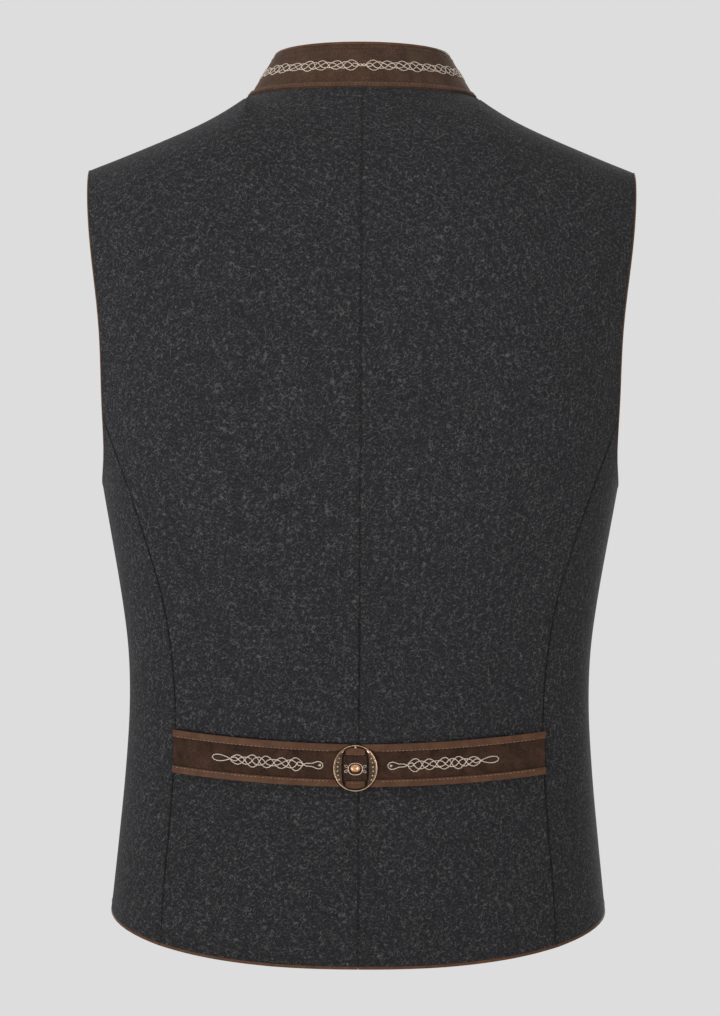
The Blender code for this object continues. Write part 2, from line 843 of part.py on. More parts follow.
def make_bridge(base):
    """Tab inside the ring with its two edge strips and the rivet on it."""
    high = base + BRIDGE_WALL
    middle = grid_plan(RING_X - BRIDGE_HALF_X, RING_X + BRIDGE_HALF_X,
                       RING_Z - BRIDGE_FOOT + GAP, RING_Z + BRIDGE_TOP - GAP, 2, 4)
    laid_plate("belt_bridge", middle, base, high, "suede_brown")
    offsets = np.linspace(-BRIDGE_EDGE_HALF, BRIDGE_EDGE_HALF, 7)
    upper = [[(RING_X + x, RING_Z + BRIDGE_TOP) for x in offsets],
             [(RING_X + x, RING_Z + bridge_end(x)) for x in offsets]]
    lower = [[(RING_X + x, RING_Z - bridge_end(x)) for x in offsets],
             [(RING_X + x, RING_Z - BRIDGE_FOOT) for x in offsets]]
    laid_plate("bridge_edge_top", upper, base, high, "leather_brown")
    laid_plate("bridge_edge_foot", lower, base, high, "leather_brown")
    make_rivet(high + GAP)


def make_rivet(base):
    """Oval domed rivet with a shallow dimple."""
    profile = ((1.0, 0.0), (1.0, 0.35), (0.86, 0.75), (0.62, 0.96), (0.42, 1.0), (0.22, 0.84))
    stack = []
    for share, rise in profile:
        stack.append(oval(RIVET_HALF_X * share, RIVET_HALF_Z * share, base + RIVET_HEIGHT * rise, 20))
    bm = bmesh.new()
    loops = [[bm.verts.new(p) for p in loop] for loop in stack]
    for one, two in zip(loops, loops[1:]):
        for i in range(20):
            bm.faces.new((one[i], one[(i + 1) % 20], two[(i + 1) % 20], two[i]))
    bm.faces.new(loops[0])
    tip = bm.verts.new(on_wall(RING_X, RING_Z, base + RIVET_HEIGHT * 0.8))
    for i in range(20):
        bm.faces.new((loops[-1][i], loops[-1][(i + 1) % 20], tip))
    add_object("rivet", bm, "copper_rivet")


def oval(half_x, half_z, out, count):
    points = []
    for i in range(count):
        turn = 2 * math.pi * i / count
        points.append(on_wall(RING_X + half_x * math.cos(turn), RING_Z + half_z * math.sin(turn), out))
    return points


def opening_reach(turn):
    """Distance from the ring's centre to the edge of its barrel-shaped opening."""
    rim_x, rim_z = RING_HALF_X - RING_RIM, RING_HALF_Z - RING_RIM
    reach = 1 / math.hypot(math.cos(turn) / rim_x, math.sin(turn) / rim_z)
    for _ in range(30):
        height = reach * math.sin(turn)
        side = OPENING_HALF * (1 - OPENING_WAIST * (height / rim_z) ** 2)
        limit = side / max(abs(math.cos(turn)), 1e-6)
        if limit >= reach:
            break
        reach = mix(reach, limit, 0.5)
    return reach


def make_ring(base):
    """Ring plate: a raised outer rim, and flat crescents in to the opening."""
    count = 48
    profile = (
        # from outer edge, share of the way in, height
        (0.0000, 0.0, 0.0),
        (0.0000, 0.0, 0.55),
        (0.0004, 0.0, 0.95),
        (0.0009, 0.0, 0.90),
        (0.0013, 0.0, 0.55),
        (0.0000, 1.0, 0.50),
        (0.0000, 1.0, 0.0),
    )
    bm = bmesh.new()
    loops = []
    for inset, inward, rise in profile:
        loop = []
        for i in range(count):
            turn = 2 * math.pi * (i + 0.5) / count
            outer = 1 / math.hypot(math.cos(turn) / RING_HALF_X, math.sin(turn) / RING_HALF_Z)
            reach = mix(outer - inset, opening_reach(turn) - 0.00015, inward)
            x, z = RING_X + reach * math.cos(turn), RING_Z + reach * math.sin(turn)
            loop.append(bm.verts.new(on_wall(x, z, base + RING_HEIGHT * rise)))
        loops.append(loop)
    for one, two in zip(loops, loops[1:] + loops[:1]):
        for i in range(count):
            bm.faces.new((one[i], one[(i + 1) % count], two[(i + 1) % count], two[i]))
    add_object("buckle_ring", bm, "brass_antique")


def make_buttons(front):
    """Domed buttons down the left front, each on a flat base that touches the cloth at its middle."""
    middle = [(row[0] + row[1]) / 2 for row in front]
    lift = WOOL + 2 * GAP
    profile = ((0.55, 0.0), (0.92, 0.12), (1.0, 0.32), (0.88, 0.62), (0.62, 0.88), (0.30, 0.98))
    count = 16
    heights_up = [p.z for p in middle]
    depths = [p.y for p in middle]
    for number in range(BUTTON_COUNT):
        z = BUTTON_TOP_Z - BUTTON_STEP * number
        here = Vector((0, float(np.interp(z, heights_up, depths)), z))
        above = Vector((0, float(np.interp(z + 0.006, heights_up, depths)), z + 0.006))
        up = (above - here).normalized()
        out = Vector((1, 0, 0)).cross(up).normalized()
        bm = bmesh.new()
        loops = []
        for share, rise in profile:
            loop = []
            for i in range(count):
                turn = 2 * math.pi * i / count
                flat = Vector((math.cos(turn), 0, 0)) + up * math.sin(turn)
                spot = here + out * (lift + BUTTON_HEIGHT * rise) + flat * BUTTON_RADIUS * share
                loop.append(bm.verts.new(spot))
            loops.append(loop)
        for one, two in zip(loops, loops[1:]):
            for i in range(count):
                bm.faces.new((one[i], one[(i + 1) % count], two[(i + 1) % count], two[i]))
        bm.faces.new(loops[0])
        bm.faces.new(loops[-1])
        add_object(f"button_{number + 1}", bm, "brass_antique")


def build():
    clear_scene()
    make_body()
    make_collar()
    make_belt()
    make_buttons(front_grid())


build()
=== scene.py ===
"""Embroidered folk vest: wool, suede, leather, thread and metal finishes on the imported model."""
from functools import lru_cache
import math

import bmesh
import bpy
import numpy as np
from mathutils import Matrix, Vector
from mathutils.bvhtree import BVHTree
from mathutils.kdtree import KDTree


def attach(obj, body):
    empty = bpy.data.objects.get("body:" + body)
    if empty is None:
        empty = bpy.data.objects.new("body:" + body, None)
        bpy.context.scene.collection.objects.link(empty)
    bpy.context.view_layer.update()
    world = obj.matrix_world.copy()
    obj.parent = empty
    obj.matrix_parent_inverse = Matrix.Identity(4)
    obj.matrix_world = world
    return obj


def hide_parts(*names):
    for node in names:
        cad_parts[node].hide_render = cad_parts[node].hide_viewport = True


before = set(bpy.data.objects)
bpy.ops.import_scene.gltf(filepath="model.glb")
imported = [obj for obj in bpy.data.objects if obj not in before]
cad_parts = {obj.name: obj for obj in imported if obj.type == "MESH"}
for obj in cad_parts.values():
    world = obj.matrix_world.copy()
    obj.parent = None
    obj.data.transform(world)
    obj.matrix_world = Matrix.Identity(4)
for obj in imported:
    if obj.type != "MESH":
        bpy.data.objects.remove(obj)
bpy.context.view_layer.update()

bl_info = {
    "name": "Embroidered Folk Vest",
    "version": (1, 0, 0),
    "blender": (4, 5, 0),
    "location": "3D View > Sidebar > Vest",
    "description": "Dresses the vest's solids in wool, suede, thread and metal",
    "category": "Object",
}

# Locks of fibre in the felt: turn of the layer, spacing in metres, shift, and how thin a lock is
WAVE_UNIT = 0.314
PALE_LOCKS = (
    ((0.3, 0.2, 0.1), 0.0027, 0.0, 0.90),
    ((1.1, 0.4, 0.9), 0.0025, 3.7, 0.90),
    ((0.6, 1.3, 2.1), 0.0028, 9.1, 0.89),
    ((2.0, 0.7, 1.5), 0.0026, 14.3, 0.90),
    ((0.9, 2.2, 0.4), 0.0024, 21.9, 0.91),
    ((2.6, 1.1, 0.8), 0.0026, 43.1, 0.90),
)
DEEP_LOCKS = (
    ((1.7, 0.9, 0.2), 0.0033, 31.0, 0.80),
    ((0.2, 1.9, 1.2), 0.0038, 37.5, 0.80),
)

# Camera place in metres, lens, roll in degrees, and light
CAMERA_PLACE = (0.0, 1.6, -0.3055)
CAMERA_LENS = 75.44
CAMERA_ROLL = -0.28
CAMERA_SHIFT = -0.0002
ROOM_LIGHT = 0.51
LAMPS = (
    # name, strength, angle in degrees, where it comes from
    ("key", 1.55, 28, (0.72, 1.0, -0.24)),
    ("fill", 0.46, 60, (-0.70, 1.0, -0.24)),
    ("top", 0.20, 60, (0.10, 0.30, 1.0)),
    ("key_before", 1.45, 35, (-0.55, -1.0, 0.25)),
    ("fill_before", 0.40, 60, (0.80, -1.0, 0.20)),
)
FLOOR_Z = -1.45
FLOOR_RADIUS = 3.0

# Joining, rounding and sewing of the solids, in metres and degrees
MERGE = 0.000002
SHARP = 50
METAL_SHARP = 40
REST_ABOVE = -0.150
REST_ROUNDS = 3
SEAM_CLOSE = 0.0003
END_CLOSE = 0.0014
INSIDE_THREAD = 0.0007
SEAM_STEP = 0.0005
# Painted shade along the wool's seams, a darker line where the groove lies: the attribute that holds it, how
# much darker, its width, and how deep the wool is drawn in there
SEAM_SHADE_MARK = "seam"
SEAM_SHADE = 0.62
SEAM_WIDTH = 0.0006
SEAM_DEPTH = 0.0004
SEAM_NEAR = 0.0015
SEAM_REACH = 0.0080
SEAM_SKIP = 12
SEAM_BEHIND = -0.02
BATCH = 4000
BINDING_CLOSE = 0.00012
THINNEST_WALL = 0.0026
PANELS = {
    # node: (cut width, cut length, cut area), in metres
    "back_left": (0.215, 0.665, 0.116),
    "back_right": (0.215, 0.665, 0.116),
    "front_left": (0.345, 0.640, 0.171),
    "front_right": (0.345, 0.640, 0.171),
}

# Soft troughs (below 0) and ridges (above 0) in the wool, in metres
CREASES = (
    # side, height, half width, points (x, z)
    ("back", -0.0016, 0.011,
     ((-0.134, -0.480), (-0.066, -0.486), (0.0, -0.488), (0.066, -0.486), (0.134, -0.480))),
    ("back", 0.0013, 0.009,
     ((-0.128, -0.452), (-0.060, -0.459), (0.0, -0.461), (0.060, -0.459), (0.128, -0.452))),
    ("back", 0.0009, 0.009,
     ((-0.130, -0.508), (-0.060, -0.514), (0.0, -0.516), (0.060, -0.514), (0.130, -0.508))),
    ("back", -0.0009, 0.015, ((0.060, -0.200), (0.048, -0.320), (0.052, -0.430))),
    ("back", -0.0008, 0.016, ((-0.066, -0.220), (-0.052, -0.330), (-0.046, -0.425))),
    ("back", 0.0007, 0.014, ((0.098, -0.150), (0.104, -0.260), (0.092, -0.380))),
    ("back", 0.0008, 0.014, ((-0.102, -0.160), (-0.108, -0.270), (-0.098, -0.370))),
    ("back", -0.0007, 0.012, ((0.100, -0.060), (0.140, -0.120), (0.158, -0.190))),
    ("back", -0.0007, 0.012, ((-0.100, -0.062), (-0.136, -0.118), (-0.152, -0.180))),
    ("back", 0.0008, 0.015, ((0.062, -0.530), (0.068, -0.575), (0.072, -0.602))),
    ("back", 0.0009, 0.016, ((-0.070, -0.530), (-0.074, -0.575), (-0.080, -0.602))),
    ("front", -0.0012, 0.010, ((0.150, -0.285), (0.112, -0.302), (0.070, -0.298))),
    ("front", -0.0012, 0.010, ((-0.150, -0.283), (-0.110, -0.300), (-0.066, -0.295))),
    ("front", -0.0012, 0.011, ((0.140, -0.438), (0.080, -0.446), (0.030, -0.440))),
    ("front", -0.0012, 0.011, ((-0.140, -0.440), (-0.080, -0.448), (-0.030, -0.442))),
    ("front", 0.0010, 0.012, ((0.135, -0.415), (0.080, -0.421), (0.034, -0.416))),
    ("front", 0.0010, 0.012, ((-0.135, -0.417), (-0.080, -0.423), (-0.034, -0.418))),
    ("front", 0.0009, 0.015, ((0.070, -0.490), (0.082, -0.550), (0.088, -0.590))),
    ("front", 0.0009, 0.015, ((-0.070, -0.492), (-0.080, -0.550), (-0.084, -0.590))),
    ("front", -0.0008, 0.013, ((0.110, -0.070), (0.100, -0.140), (0.080, -0.200))),
    ("front", -0.0008, 0.013, ((-0.110, -0.070), (-0.098, -0.142), (-0.078, -0.198))),
)
CREASE_SIDE = 0.02
CREASE_FADE = 5
CREASE_END = 0.15

# Collar form, as in the solids
NECK_Y = -0.005
NECK_HALF = 0.0862
NECK_BEHIND = 0.0700
NECK_BEFORE = 0.0830
NECK_BACK_Z = -0.0023
NECK_SIDE_Z = 0.0012
NECK_FRONT_Z = -0.0780
NECK_BEND = 1.8
COLLAR_HALF = 0.0670
COLLAR_BEHIND = 0.0545
COLLAR_BEFORE = 0.0720
COLLAR_BACK_Z = 0.0322
COLLAR_SIDE_Z = 0.0330
COLLAR_FRONT_Z = -0.0400
COLLAR_SEAMS = (0.0153, -0.0160)
COLLAR_SEAM_REACH = 0.175
PATTERN_RISE = (0.0006, 0.0017, 0.12)

# Belt, ring and buttons, as in the solids, with their embroidery
BELT_MID_Z = -0.4882
BELT_RISE = 0.0070
BELT_HALF = (0.0145, 0.0149)
BELT_SEAM_INSET = 0.0040
BELT_REACH = 0.132
BELT_BEND = 1.7
BELT_SEAM_START = 0.0185
BELT_SEAM_RUN = 0.1105
RING_CENTRE = (0.0025, -0.4900)
RING_HALF = (0.0158, 0.0165)
BELT_LOOP = [
    (0.0368, 0.0), (0.0345, 0.0010), (0.0305, 0.0011), (0.0275, 0.0024), (0.0243, 0.0022), (0.0228, 0.0)]
BELT_DROP = [(0.0892, 0.0), (0.0920, 0.0012), (0.0965, 0.0022), (0.1005, 0.0018), (0.1022, 0.0)]
BELT_DOT = (0.0252, 0.0, 0.0009, 0.0009)
COLLAR_DOT = (0.0012, 0.0, 0.0019, 0.0010)
EYE_HALF = (0.0050, 0.0043)
BOW_HALF = (0.0014, 0.0008)
# Start, end, units and half height of the plaits
COLLAR_PLAIT = (0.0026, 0.1680, 15, 0.0040)
BELT_PLAIT = (0.0368, 0.0892, 5, 0.0039)
WOBBLES = ((0.00022, 410, 1.3), (0.00016, 910, 0.4))
PLAIT_STEP = 0.0006
PLAIT_TAPER = 0.35
PLAIT_ROUND = 0.72
PLAIT_INNER = 0.66
BOWS = ((-0.0064, 0.0017), (-0.0064, -0.0017), (0.0064, 0.0018), (0.0064, -0.0014))
RIVET_HALF = 0.0034
RIVET_SHIFT = (-0.0005, 0, -0.0002)
RIVET_HEAD = 0.0012
DIMPLE_REACH = 0.5
DIMPLE_DEPTH = 0.0006
RIVET_ROUND = 0.0002
RING_ROUND = 0.00015
RING_INNER = 0.90
RING_INSET = 0.00025
BEAD_X = 0.0126
TAB_SEAMS = (0.0099, -0.0097)
TAB_SEAM_HALF = 0.0058
BEAD_ROWS = (-0.0074, -0.0045, -0.0015, 0.0015, 0.0045, 0.0074)
BEAD_RADIUS = 0.00078
BEAD_BEND = 0.0012
RING_POINT = {"radius1": 0.0011, "radius2": 0.0002, "depth": 0.0024}
POINT_IN = 0.0010
POINT_SHIFT = (0, 0.0004, 0.0012)
BUTTON_TOP = -0.105
BUTTON_STEP = 0.090
BUTTON_COUNT = 6
BUTTON_ROUND = 0.0004
HOLE_START = 0.0010
HOLE_END = 0.0185
HOLE_HALF = 0.0017
HOLE_STITCHES = 20
SLIT_HALF = 0.0002

# Stitches above the hem, all round
HEM_BIN = math.radians(3)
HEM_SHARE = 0.62
HEM_RADIUS = 0.150
HEM_STITCH_RISE = 0.0040
HEM_RUNS = ((-3.10, 0.0), (0.0, 3.10))

# Where the lines that look for the cloth start
OFF_COLLAR = 0.02
BEHIND = 0.2
FORWARD = Vector((0, -1, 0))
BEFORE = -0.4
AROUND = 0.4


def linear(code):
    """Linear red, green and blue of an sRGB hex code."""
    out = []
    for i in (0, 2, 4):
        value = int(code[i:i + 2], 16) / 255
        out.append(value / 12.92 if value <= 0.04045 else ((value + 0.055) / 1.055) ** 2.4)
    return tuple(out)


def colour_property(name, description, code):
    return bpy.props.FloatVectorProperty(
        name=name, description=description, default=linear(code), size=3, min=0.0, max=1.0, subtype="COLOR")


def length_property(name, description, default):
    return bpy.props.FloatProperty(
        name=name, description=description, default=default, min=0.00005, max=0.05, precision=5,
        subtype="DISTANCE", unit="LENGTH")


class VestColours(bpy.types.PropertyGroup):
    wool: colour_property("Wool", "Main tone of the felted wool", "2D2D2F")
    wool_deep: colour_property("Wool depths", "Tone between the fibres", "262628")
    wool_shadow: colour_property("Wool hollows", "Dark places between the locks", "1C1C1F")
    wool_fleck: colour_property("Wool flecks", "Pale fibres in the felt", "636364")
    suede: colour_property("Collar suede", "Nap of the collar", "433025")
    suede_worn: colour_property("Collar suede, brushed", "Collar nap lying the other way", "594234")
    belt: colour_property("Belt suede", "Nap of the belt", "30221A")
    belt_worn: colour_property("Belt suede, brushed", "Belt nap lying the other way", "4C3529")
    leather: colour_property("Leather", "Bindings and edge strips", "583D2D")
    leather_worn: colour_property("Leather, worn", "Rubbed places of the strips", "6F4D38")
    thread: colour_property("Embroidery thread", "Pale linen thread", "F4E6D6")
    seam_thread: colour_property("Seam thread", "Thread along the strips", "A28169")
    brass: colour_property("Brass", "Rim and beads of the ring", "E0C4A8")
    bronze: colour_property("Bronze patina", "Dark flats of the ring", "564638")
    copper: colour_property("Copper", "Rivet on the tab", "E0AE88")
    button: colour_property("Buttons", "Aged brass of the buttons", "B09674")
    floor: colour_property("Floor", "Pale studio floor", "F2F2F2")


class VestSizes(bpy.types.PropertyGroup):
    wool_round: length_property("Wool edge", "Rounding of the wool's cut edges", 0.0006)
    leather_round: length_property("Leather edge", "Rounding of the leather's edges", 0.0003)
    stitch: length_property("Stitch", "Length of one embroidery stitch", 0.0021)
    thread: length_property("Thread", "Half thickness of the embroidery thread", 0.00034)
    seam_stitch: length_property("Seam stitch", "Length of one seam stitch", 0.0028)
    seam_thread: length_property("Seam thread", "Half thickness of the seam thread", 0.00034)
    fibre: length_property("Fibre curl", "Width of one curl of a wool fibre", 0.0036)
    nap: length_property("Nap", "Spacing of the suede's nap", 0.0011)
    grain: length_property("Grain", "Spacing of the leather's grain", 0.0008)


def sizes():
    return bpy.context.scene.vest_sizes


def colours():
    return bpy.context.scene.vest_colours


# Materials

def add(tree, kind, inputs=None, **settings):
    """Adds one node with its settings. Inputs are values, or outputs to link from."""
    item = tree.nodes.new(kind)
    for key, value in settings.items():
        setattr(item, key, value)
    for key, value in (inputs or {}).items():
        if isinstance(value, bpy.types.NodeSocket):
            tree.links.new(value, item.inputs[key])
        elif isinstance(value, tuple) and len(value) == 3 and item.inputs[key].type == "RGBA":
            item.inputs[key].default_value = (*value, 1.0)
        else:
            item.inputs[key].default_value = value
    return item


def new_material(name):
    """An empty material with its Object coordinates."""
    mat = bpy.data.materials.new(name)
    mat.use_nodes = True
    tree = mat.node_tree
    tree.nodes.clear()
    coord = add(tree, "ShaderNodeTexCoord")
    return mat, tree, coord.outputs["Object"]


def close_material(tree, inputs):
    """The material's surface and output."""
    shader = add(tree, "ShaderNodeBsdfPrincipled", inputs)
    add(tree, "ShaderNodeOutputMaterial", {"Surface": shader.outputs["BSDF"]})


def tuned(name):
    """A material by name, made once."""
    found = bpy.data.materials.get(name)
    return found if found else MAKERS[name](name)


def tone(name):
    """A colour of the vest, by name."""
    return tuple(getattr(colours(), name))


def noise(tree, place, scale, detail, roughness=0.5, distortion=0.0):
    """A cloudy value between 0 and 1."""
    return add(tree, "ShaderNodeTexNoise", {
        "Vector": place, "Scale": scale, "Detail": detail, "Roughness": roughness,
        "Distortion": distortion}).outputs["Fac"]


def spread(tree, value, low=0.0, high=1.0, to_low=0.0, to_high=1.0, curve="LINEAR"):
    """A value moved from one range to another."""
    return add(tree, "ShaderNodeMapRange", {
        "Value": value, "From Min": low, "From Max": high, "To Min": to_low, "To Max": to_high},
        interpolation_type=curve).outputs[0]


def calc(tree, operation, *values):
    """One step of arithmetic."""
    return add(tree, "ShaderNodeMath", dict(enumerate(values)), operation=operation).outputs[0]


def blend(tree, share, low, high):
    """A colour between two."""
    return add(tree, "ShaderNodeMix", {0: share, 6: low, 7: high}, data_type="RGBA").outputs[2]


def shaded(tree, colour, value):
    """A colour made darker or lighter."""
    return add(tree, "ShaderNodeHueSaturation", {"Color": colour, "Value": value}).outputs[0]


def relief(tree, height, distance, strength):
    """Small bumps."""
    return add(tree, "ShaderNodeBump", {
        "Height": height, "Distance": distance, "Strength": strength}).outputs[0]


def fibres(tree, place, layers):
    """Curled fibres lying every way: bent thin bands, broken into short lengths."""
    found = None
    for turn, spacing, shift, thin in layers:
        moved = add(tree, "ShaderNodeMapping", {
            "Vector": place, "Location": (shift, shift * 0.37, -shift * 0.61), "Rotation": turn}).outputs[0]
        band = add(tree, "ShaderNodeTexWave", {
            "Vector": moved, "Scale": WAVE_UNIT / spacing, "Distortion": 5.2, "Detail": 1.0,
            "Detail Scale": spacing / sizes().fibre / WAVE_UNIT, "Detail Roughness": 0.6})
        line = spread(tree, band.outputs["Fac"], thin, 1.0, curve="SMOOTHSTEP")
        keep = spread(tree, noise(tree, moved, 1.2 / sizes().fibre, 1.0), 0.49, 0.60, curve="SMOOTHSTEP")
        part = calc(tree, "MULTIPLY", line, keep)
        found = part if found is None else calc(tree, "MAXIMUM", found, part)
    return found


def boiled_wool(name):
    """Boiled sheep's wool, felted and brushed: matt, mottled, with pale curled fibres lying every way on it.

    A wool fibre is finer than the picture shows, so each line stands for a lock of a few.
    """
    mat, tree, place = new_material(name)
    pale_locks = fibres(tree, place, PALE_LOCKS)
    deep_locks = fibres(tree, place, DEEP_LOCKS)
    mottle = noise(tree, place, 1.9 / sizes().fibre, 3.0, 0.6)
    broad = noise(tree, place, 42.0, 3.0)
    ground = blend(tree, spread(tree, mottle, 0.30, 0.70), tone("wool_deep"), tone("wool"))
    sunk = blend(tree, calc(tree, "MULTIPLY", deep_locks, 0.55), ground, tone("wool_shadow"))
    vary = noise(tree, place, 1.3 / sizes().fibre, 2.0)
    amount = calc(tree, "MULTIPLY", pale_locks, spread(tree, vary, 0.32, 0.72, 0.16, 0.88))
    pale = blend(tree, amount, sunk, tone("wool_fleck"))
    # Painted shade: the seam attribute darkens the wool along its seams, where the groove lies
    seam = add(tree, "ShaderNodeAttribute", attribute_name=SEAM_SHADE_MARK)
    painted_seam_shade = calc(tree, "MULTIPLY_ADD", seam.outputs["Fac"], -SEAM_SHADE, 1.0)
    level = calc(tree, "MULTIPLY", spread(tree, broad, 0.3, 0.7, 0.95, 1.05), painted_seam_shade)
    rise = calc(tree, "MULTIPLY_ADD", pale_locks, 0.5, mottle)
    height = calc(tree, "MULTIPLY_ADD", deep_locks, -0.4, rise)
    close_material(tree, {
        "Base Color": shaded(tree, pale, level), "Roughness": 0.95, "Specular IOR Level": 0.15,
        "Normal": relief(tree, height, 0.0009, 0.5), "Sheen Weight": 0.12, "Sheen Roughness": 0.45,
        "Sheen Tint": (0.55, 0.55, 0.57)})
    return mat


def suede(name, colour, worn):
    """Split cowhide, buffed: no shine, patches where the nap lies another way, and a fine tooth."""
    mat, tree, place = new_material(name)
    patch = noise(tree, place, 75.0, 6.0, 0.72, 0.6)
    nap = noise(tree, place, 1 / sizes().nap, 2.0, 0.7)
    ground = blend(tree, spread(tree, patch, 0.36, 0.66), colour, worn)
    close_material(tree, {
        "Base Color": shaded(tree, ground, spread(tree, nap, 0.3, 0.7, 0.62, 1.38)), "Roughness": 0.95,
        "Specular IOR Level": 0.15, "Normal": relief(tree, nap, 0.0003, 0.5), "Sheen Weight": 0.18,
        "Sheen Roughness": 0.5, "Sheen Tint": (0.75, 0.6, 0.5)})
    return mat


def leather(name):
    """Smooth cowhide strips, waxed and rubbed: a low gloss, fine creases and paler worn places."""
    mat, tree, place = new_material(name)
    wear = noise(tree, place, 130.0, 5.0, 0.65)
    grain = add(tree, "ShaderNodeTexVoronoi", {"Vector": place, "Scale": 1 / sizes().grain},
                feature="DISTANCE_TO_EDGE")
    close_material(tree, {
        "Base Color": blend(tree, spread(tree, wear, 0.42, 0.78), tone("leather"), tone("leather_worn")),
        "Roughness": spread(tree, wear, to_low=0.62, to_high=0.42), "Specular IOR Level": 0.13,
        "Normal": relief(tree, grain.outputs["Distance"], 0.0002, 0.35)})
    return mat


def spun_thread(name, colour, worn):
    """Two-ply spun thread: soft, faintly glossy, with the ply's turns as fine ridges."""
    mat, tree, place = new_material(name)
    ply = noise(tree, place, 1500.0, 2.0)
    mixed = calc(tree, "MULTIPLY", ply, noise(tree, place, 260.0, 2.0))
    close_material(tree, {
        "Base Color": blend(tree, spread(tree, mixed, 0.12, 0.42), worn, colour), "Roughness": 0.6,
        "Specular IOR Level": 0.35, "Normal": relief(tree, ply, 0.0002, 0.4), "Sheen Weight": 0.15,
        "Sheen Roughness": 0.4})
    return mat


def metal(name, colour, dull, gloss, bare=1.0):
    """Cast metal, tumbled and patinated: rubbed bright patches and dull brown ones, spread at random, the
    bright ones glossier.
    """
    mat, tree, place = new_material(name)
    cloud = noise(tree, place, 420.0, 5.0, 0.65)
    close_material(tree, {
        "Base Color": blend(tree, spread(tree, cloud, 0.35, 0.62), dull, colour), "Metallic": bare,
        "Roughness": spread(tree, cloud, to_low=gloss + 0.18, to_high=gloss),
        "Normal": relief(tree, cloud, 0.0002, 0.3)})
    return mat


def studio_floor(name):
    """Matt painted board: pale, even, without shine."""
    mat, tree, place = new_material(name)
    tooth = spread(tree, noise(tree, place, 30.0, 3.0), to_low=0.995, to_high=1.005)
    close_material(tree, {
        "Base Color": shaded(tree, tone("floor"), tooth), "Roughness": 0.9, "Specular IOR Level": 0.1})
    return mat


MAKERS = {
    "boiled_wool": boiled_wool,
    "collar_suede": lambda name: suede(name, tone("suede"), tone("suede_worn")),
    "belt_suede": lambda name: suede(name, tone("belt"), tone("belt_worn")),
    "edge_suede": lambda name: suede(name, linear("563F31"), linear("6D5141")),
    "waxed_leather": leather,
    "linen_thread": lambda name: spun_thread(name, tone("thread"), linear("CDBAA6")),
    "seam_thread": lambda name: spun_thread(name, tone("seam_thread"), linear("6B5140")),
    "hole_thread": lambda name: spun_thread(name, linear("2A2422"), linear("1C1817")),
    "antique_brass": lambda name: metal(name, tone("brass"), linear("A68467"), 0.27),
    "bronze_patina": lambda name: metal(name, tone("bronze"), linear("3C3027"), 0.50, 0.6),
    "aged_brass": lambda name: metal(name, tone("button"), linear("6E583F"), 0.34),
    "rubbed_copper": lambda name: metal(name, tone("copper"), linear("B07C58"), 0.22),
    "painted_floor": studio_floor,
}


# Shapes

def merged_copy(node):
    """A CAD node's mesh with its corners joined and its triangles paired."""
    bm = bmesh.new()
    bm.from_mesh(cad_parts[node].data)
    bmesh.ops.remove_doubles(bm, verts=bm.verts[:], dist=MERGE)
    bmesh.ops.join_triangles(
        bm, faces=bm.faces[:], cmp_seam=False, cmp_sharp=False, cmp_uvs=False, cmp_vcols=False,
        cmp_materials=False, angle_face_threshold=math.radians(25), angle_shape_threshold=math.radians(70))
    bm.normal_update()
    return bm


def sharp_edges(bm, degrees):
    limit = math.radians(degrees)
    return [e for e in bm.edges if len(e.link_faces) == 2 and e.calc_face_angle(0.0) > limit]


def round_edges(bm, width, degrees=SHARP, segments=2):
    bmesh.ops.bevel(
        bm, geom=sharp_edges(bm, degrees), offset=width, offset_type="OFFSET", segments=segments, profile=0.5,
        affect="EDGES", material=-1, clamp_overlap=True)


def swell(faces, distance, ends=()):
    """Moves the corners of faces out, once in each direction that the faces look, and the ends further."""
    looks = {}
    for face in faces:
        for vert in face.verts:
            looks.setdefault(vert, []).append(face.normal.copy())
    for vert, ways in looks.items():
        shift = Vector()
        reach = END_CLOSE if vert in ends else distance
        for way in ways:
            shift += way * max(reach - shift.dot(way), 0.0)
        vert.co += shift


def cut_faces(bm):
    """The narrow faces along the cut edges of a wool panel."""
    sharp = set(sharp_edges(bm, SHARP))
    return [f for f in bm.faces if sum(e in sharp for e in f.edges) >= 2
            and min(e.calc_length() for e in f.edges) < THINNEST_WALL]


def piece(name, bm, material, nodes=(), levels=0):
    """Turns a bmesh into a finished piece that rides on the vest."""
    mesh = bpy.data.meshes.new(name)
    bm.to_mesh(mesh)
    bm.free()
    item = bpy.data.objects.new(name, mesh)
    bpy.context.scene.collection.objects.link(item)
    for one in (material if isinstance(material, (list, tuple)) else (material,)):
        mesh.materials.append(tuned(one))
    mesh.shade_smooth()
    if levels:
        finer = item.modifiers.new("rounder", "SUBSURF")
        finer.levels = levels
        finer.render_levels = levels
    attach(item, "root")
    if nodes:
        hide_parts(*nodes)
    return item


def dress(node, name, look, slot, width=None, levels=2, closing=0.0, **edges):
    """A finished piece with the form of one solid and rounded edges."""
    bm = merged_copy(node)
    if closing:
        swell(bm.faces[:], closing)
    round_edges(bm, width or sizes().leather_round, **edges)
    return piece(name, bm, look, (node,), levels)


def seam_edges(bm, node):
    """The edges along which a wool panel meets its neighbours."""
    others = [v.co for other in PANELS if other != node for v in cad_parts[other].data.vertices]
    near = KDTree(len(others))
    for number, place in enumerate(others):
        near.insert(place, number)
    near.balance()
    return [e for e in sharp_edges(bm, SHARP)
            if all(v.co.y > SEAM_BEHIND and near.find(v.co)[2] < SEAM_NEAR for v in e.verts)]


def seam_ends(bm, seams):
    """The corners where the seams run out under a binding."""
    kept = set(seams)
    return {v for e in sharp_edges(bm, SHARP) if e not in kept
            for v in e.verts if not kept.isdisjoint(v.link_edges)}


def seam_line(seams):
    """Close points along some edges."""
    line = []
    for edge in seams:
        a, b = (v.co for v in edge.verts)
        count = max(int((b - a).length / SEAM_STEP), 1)
        line.extend(a.lerp(b, i / count) for i in range(count))
    return line


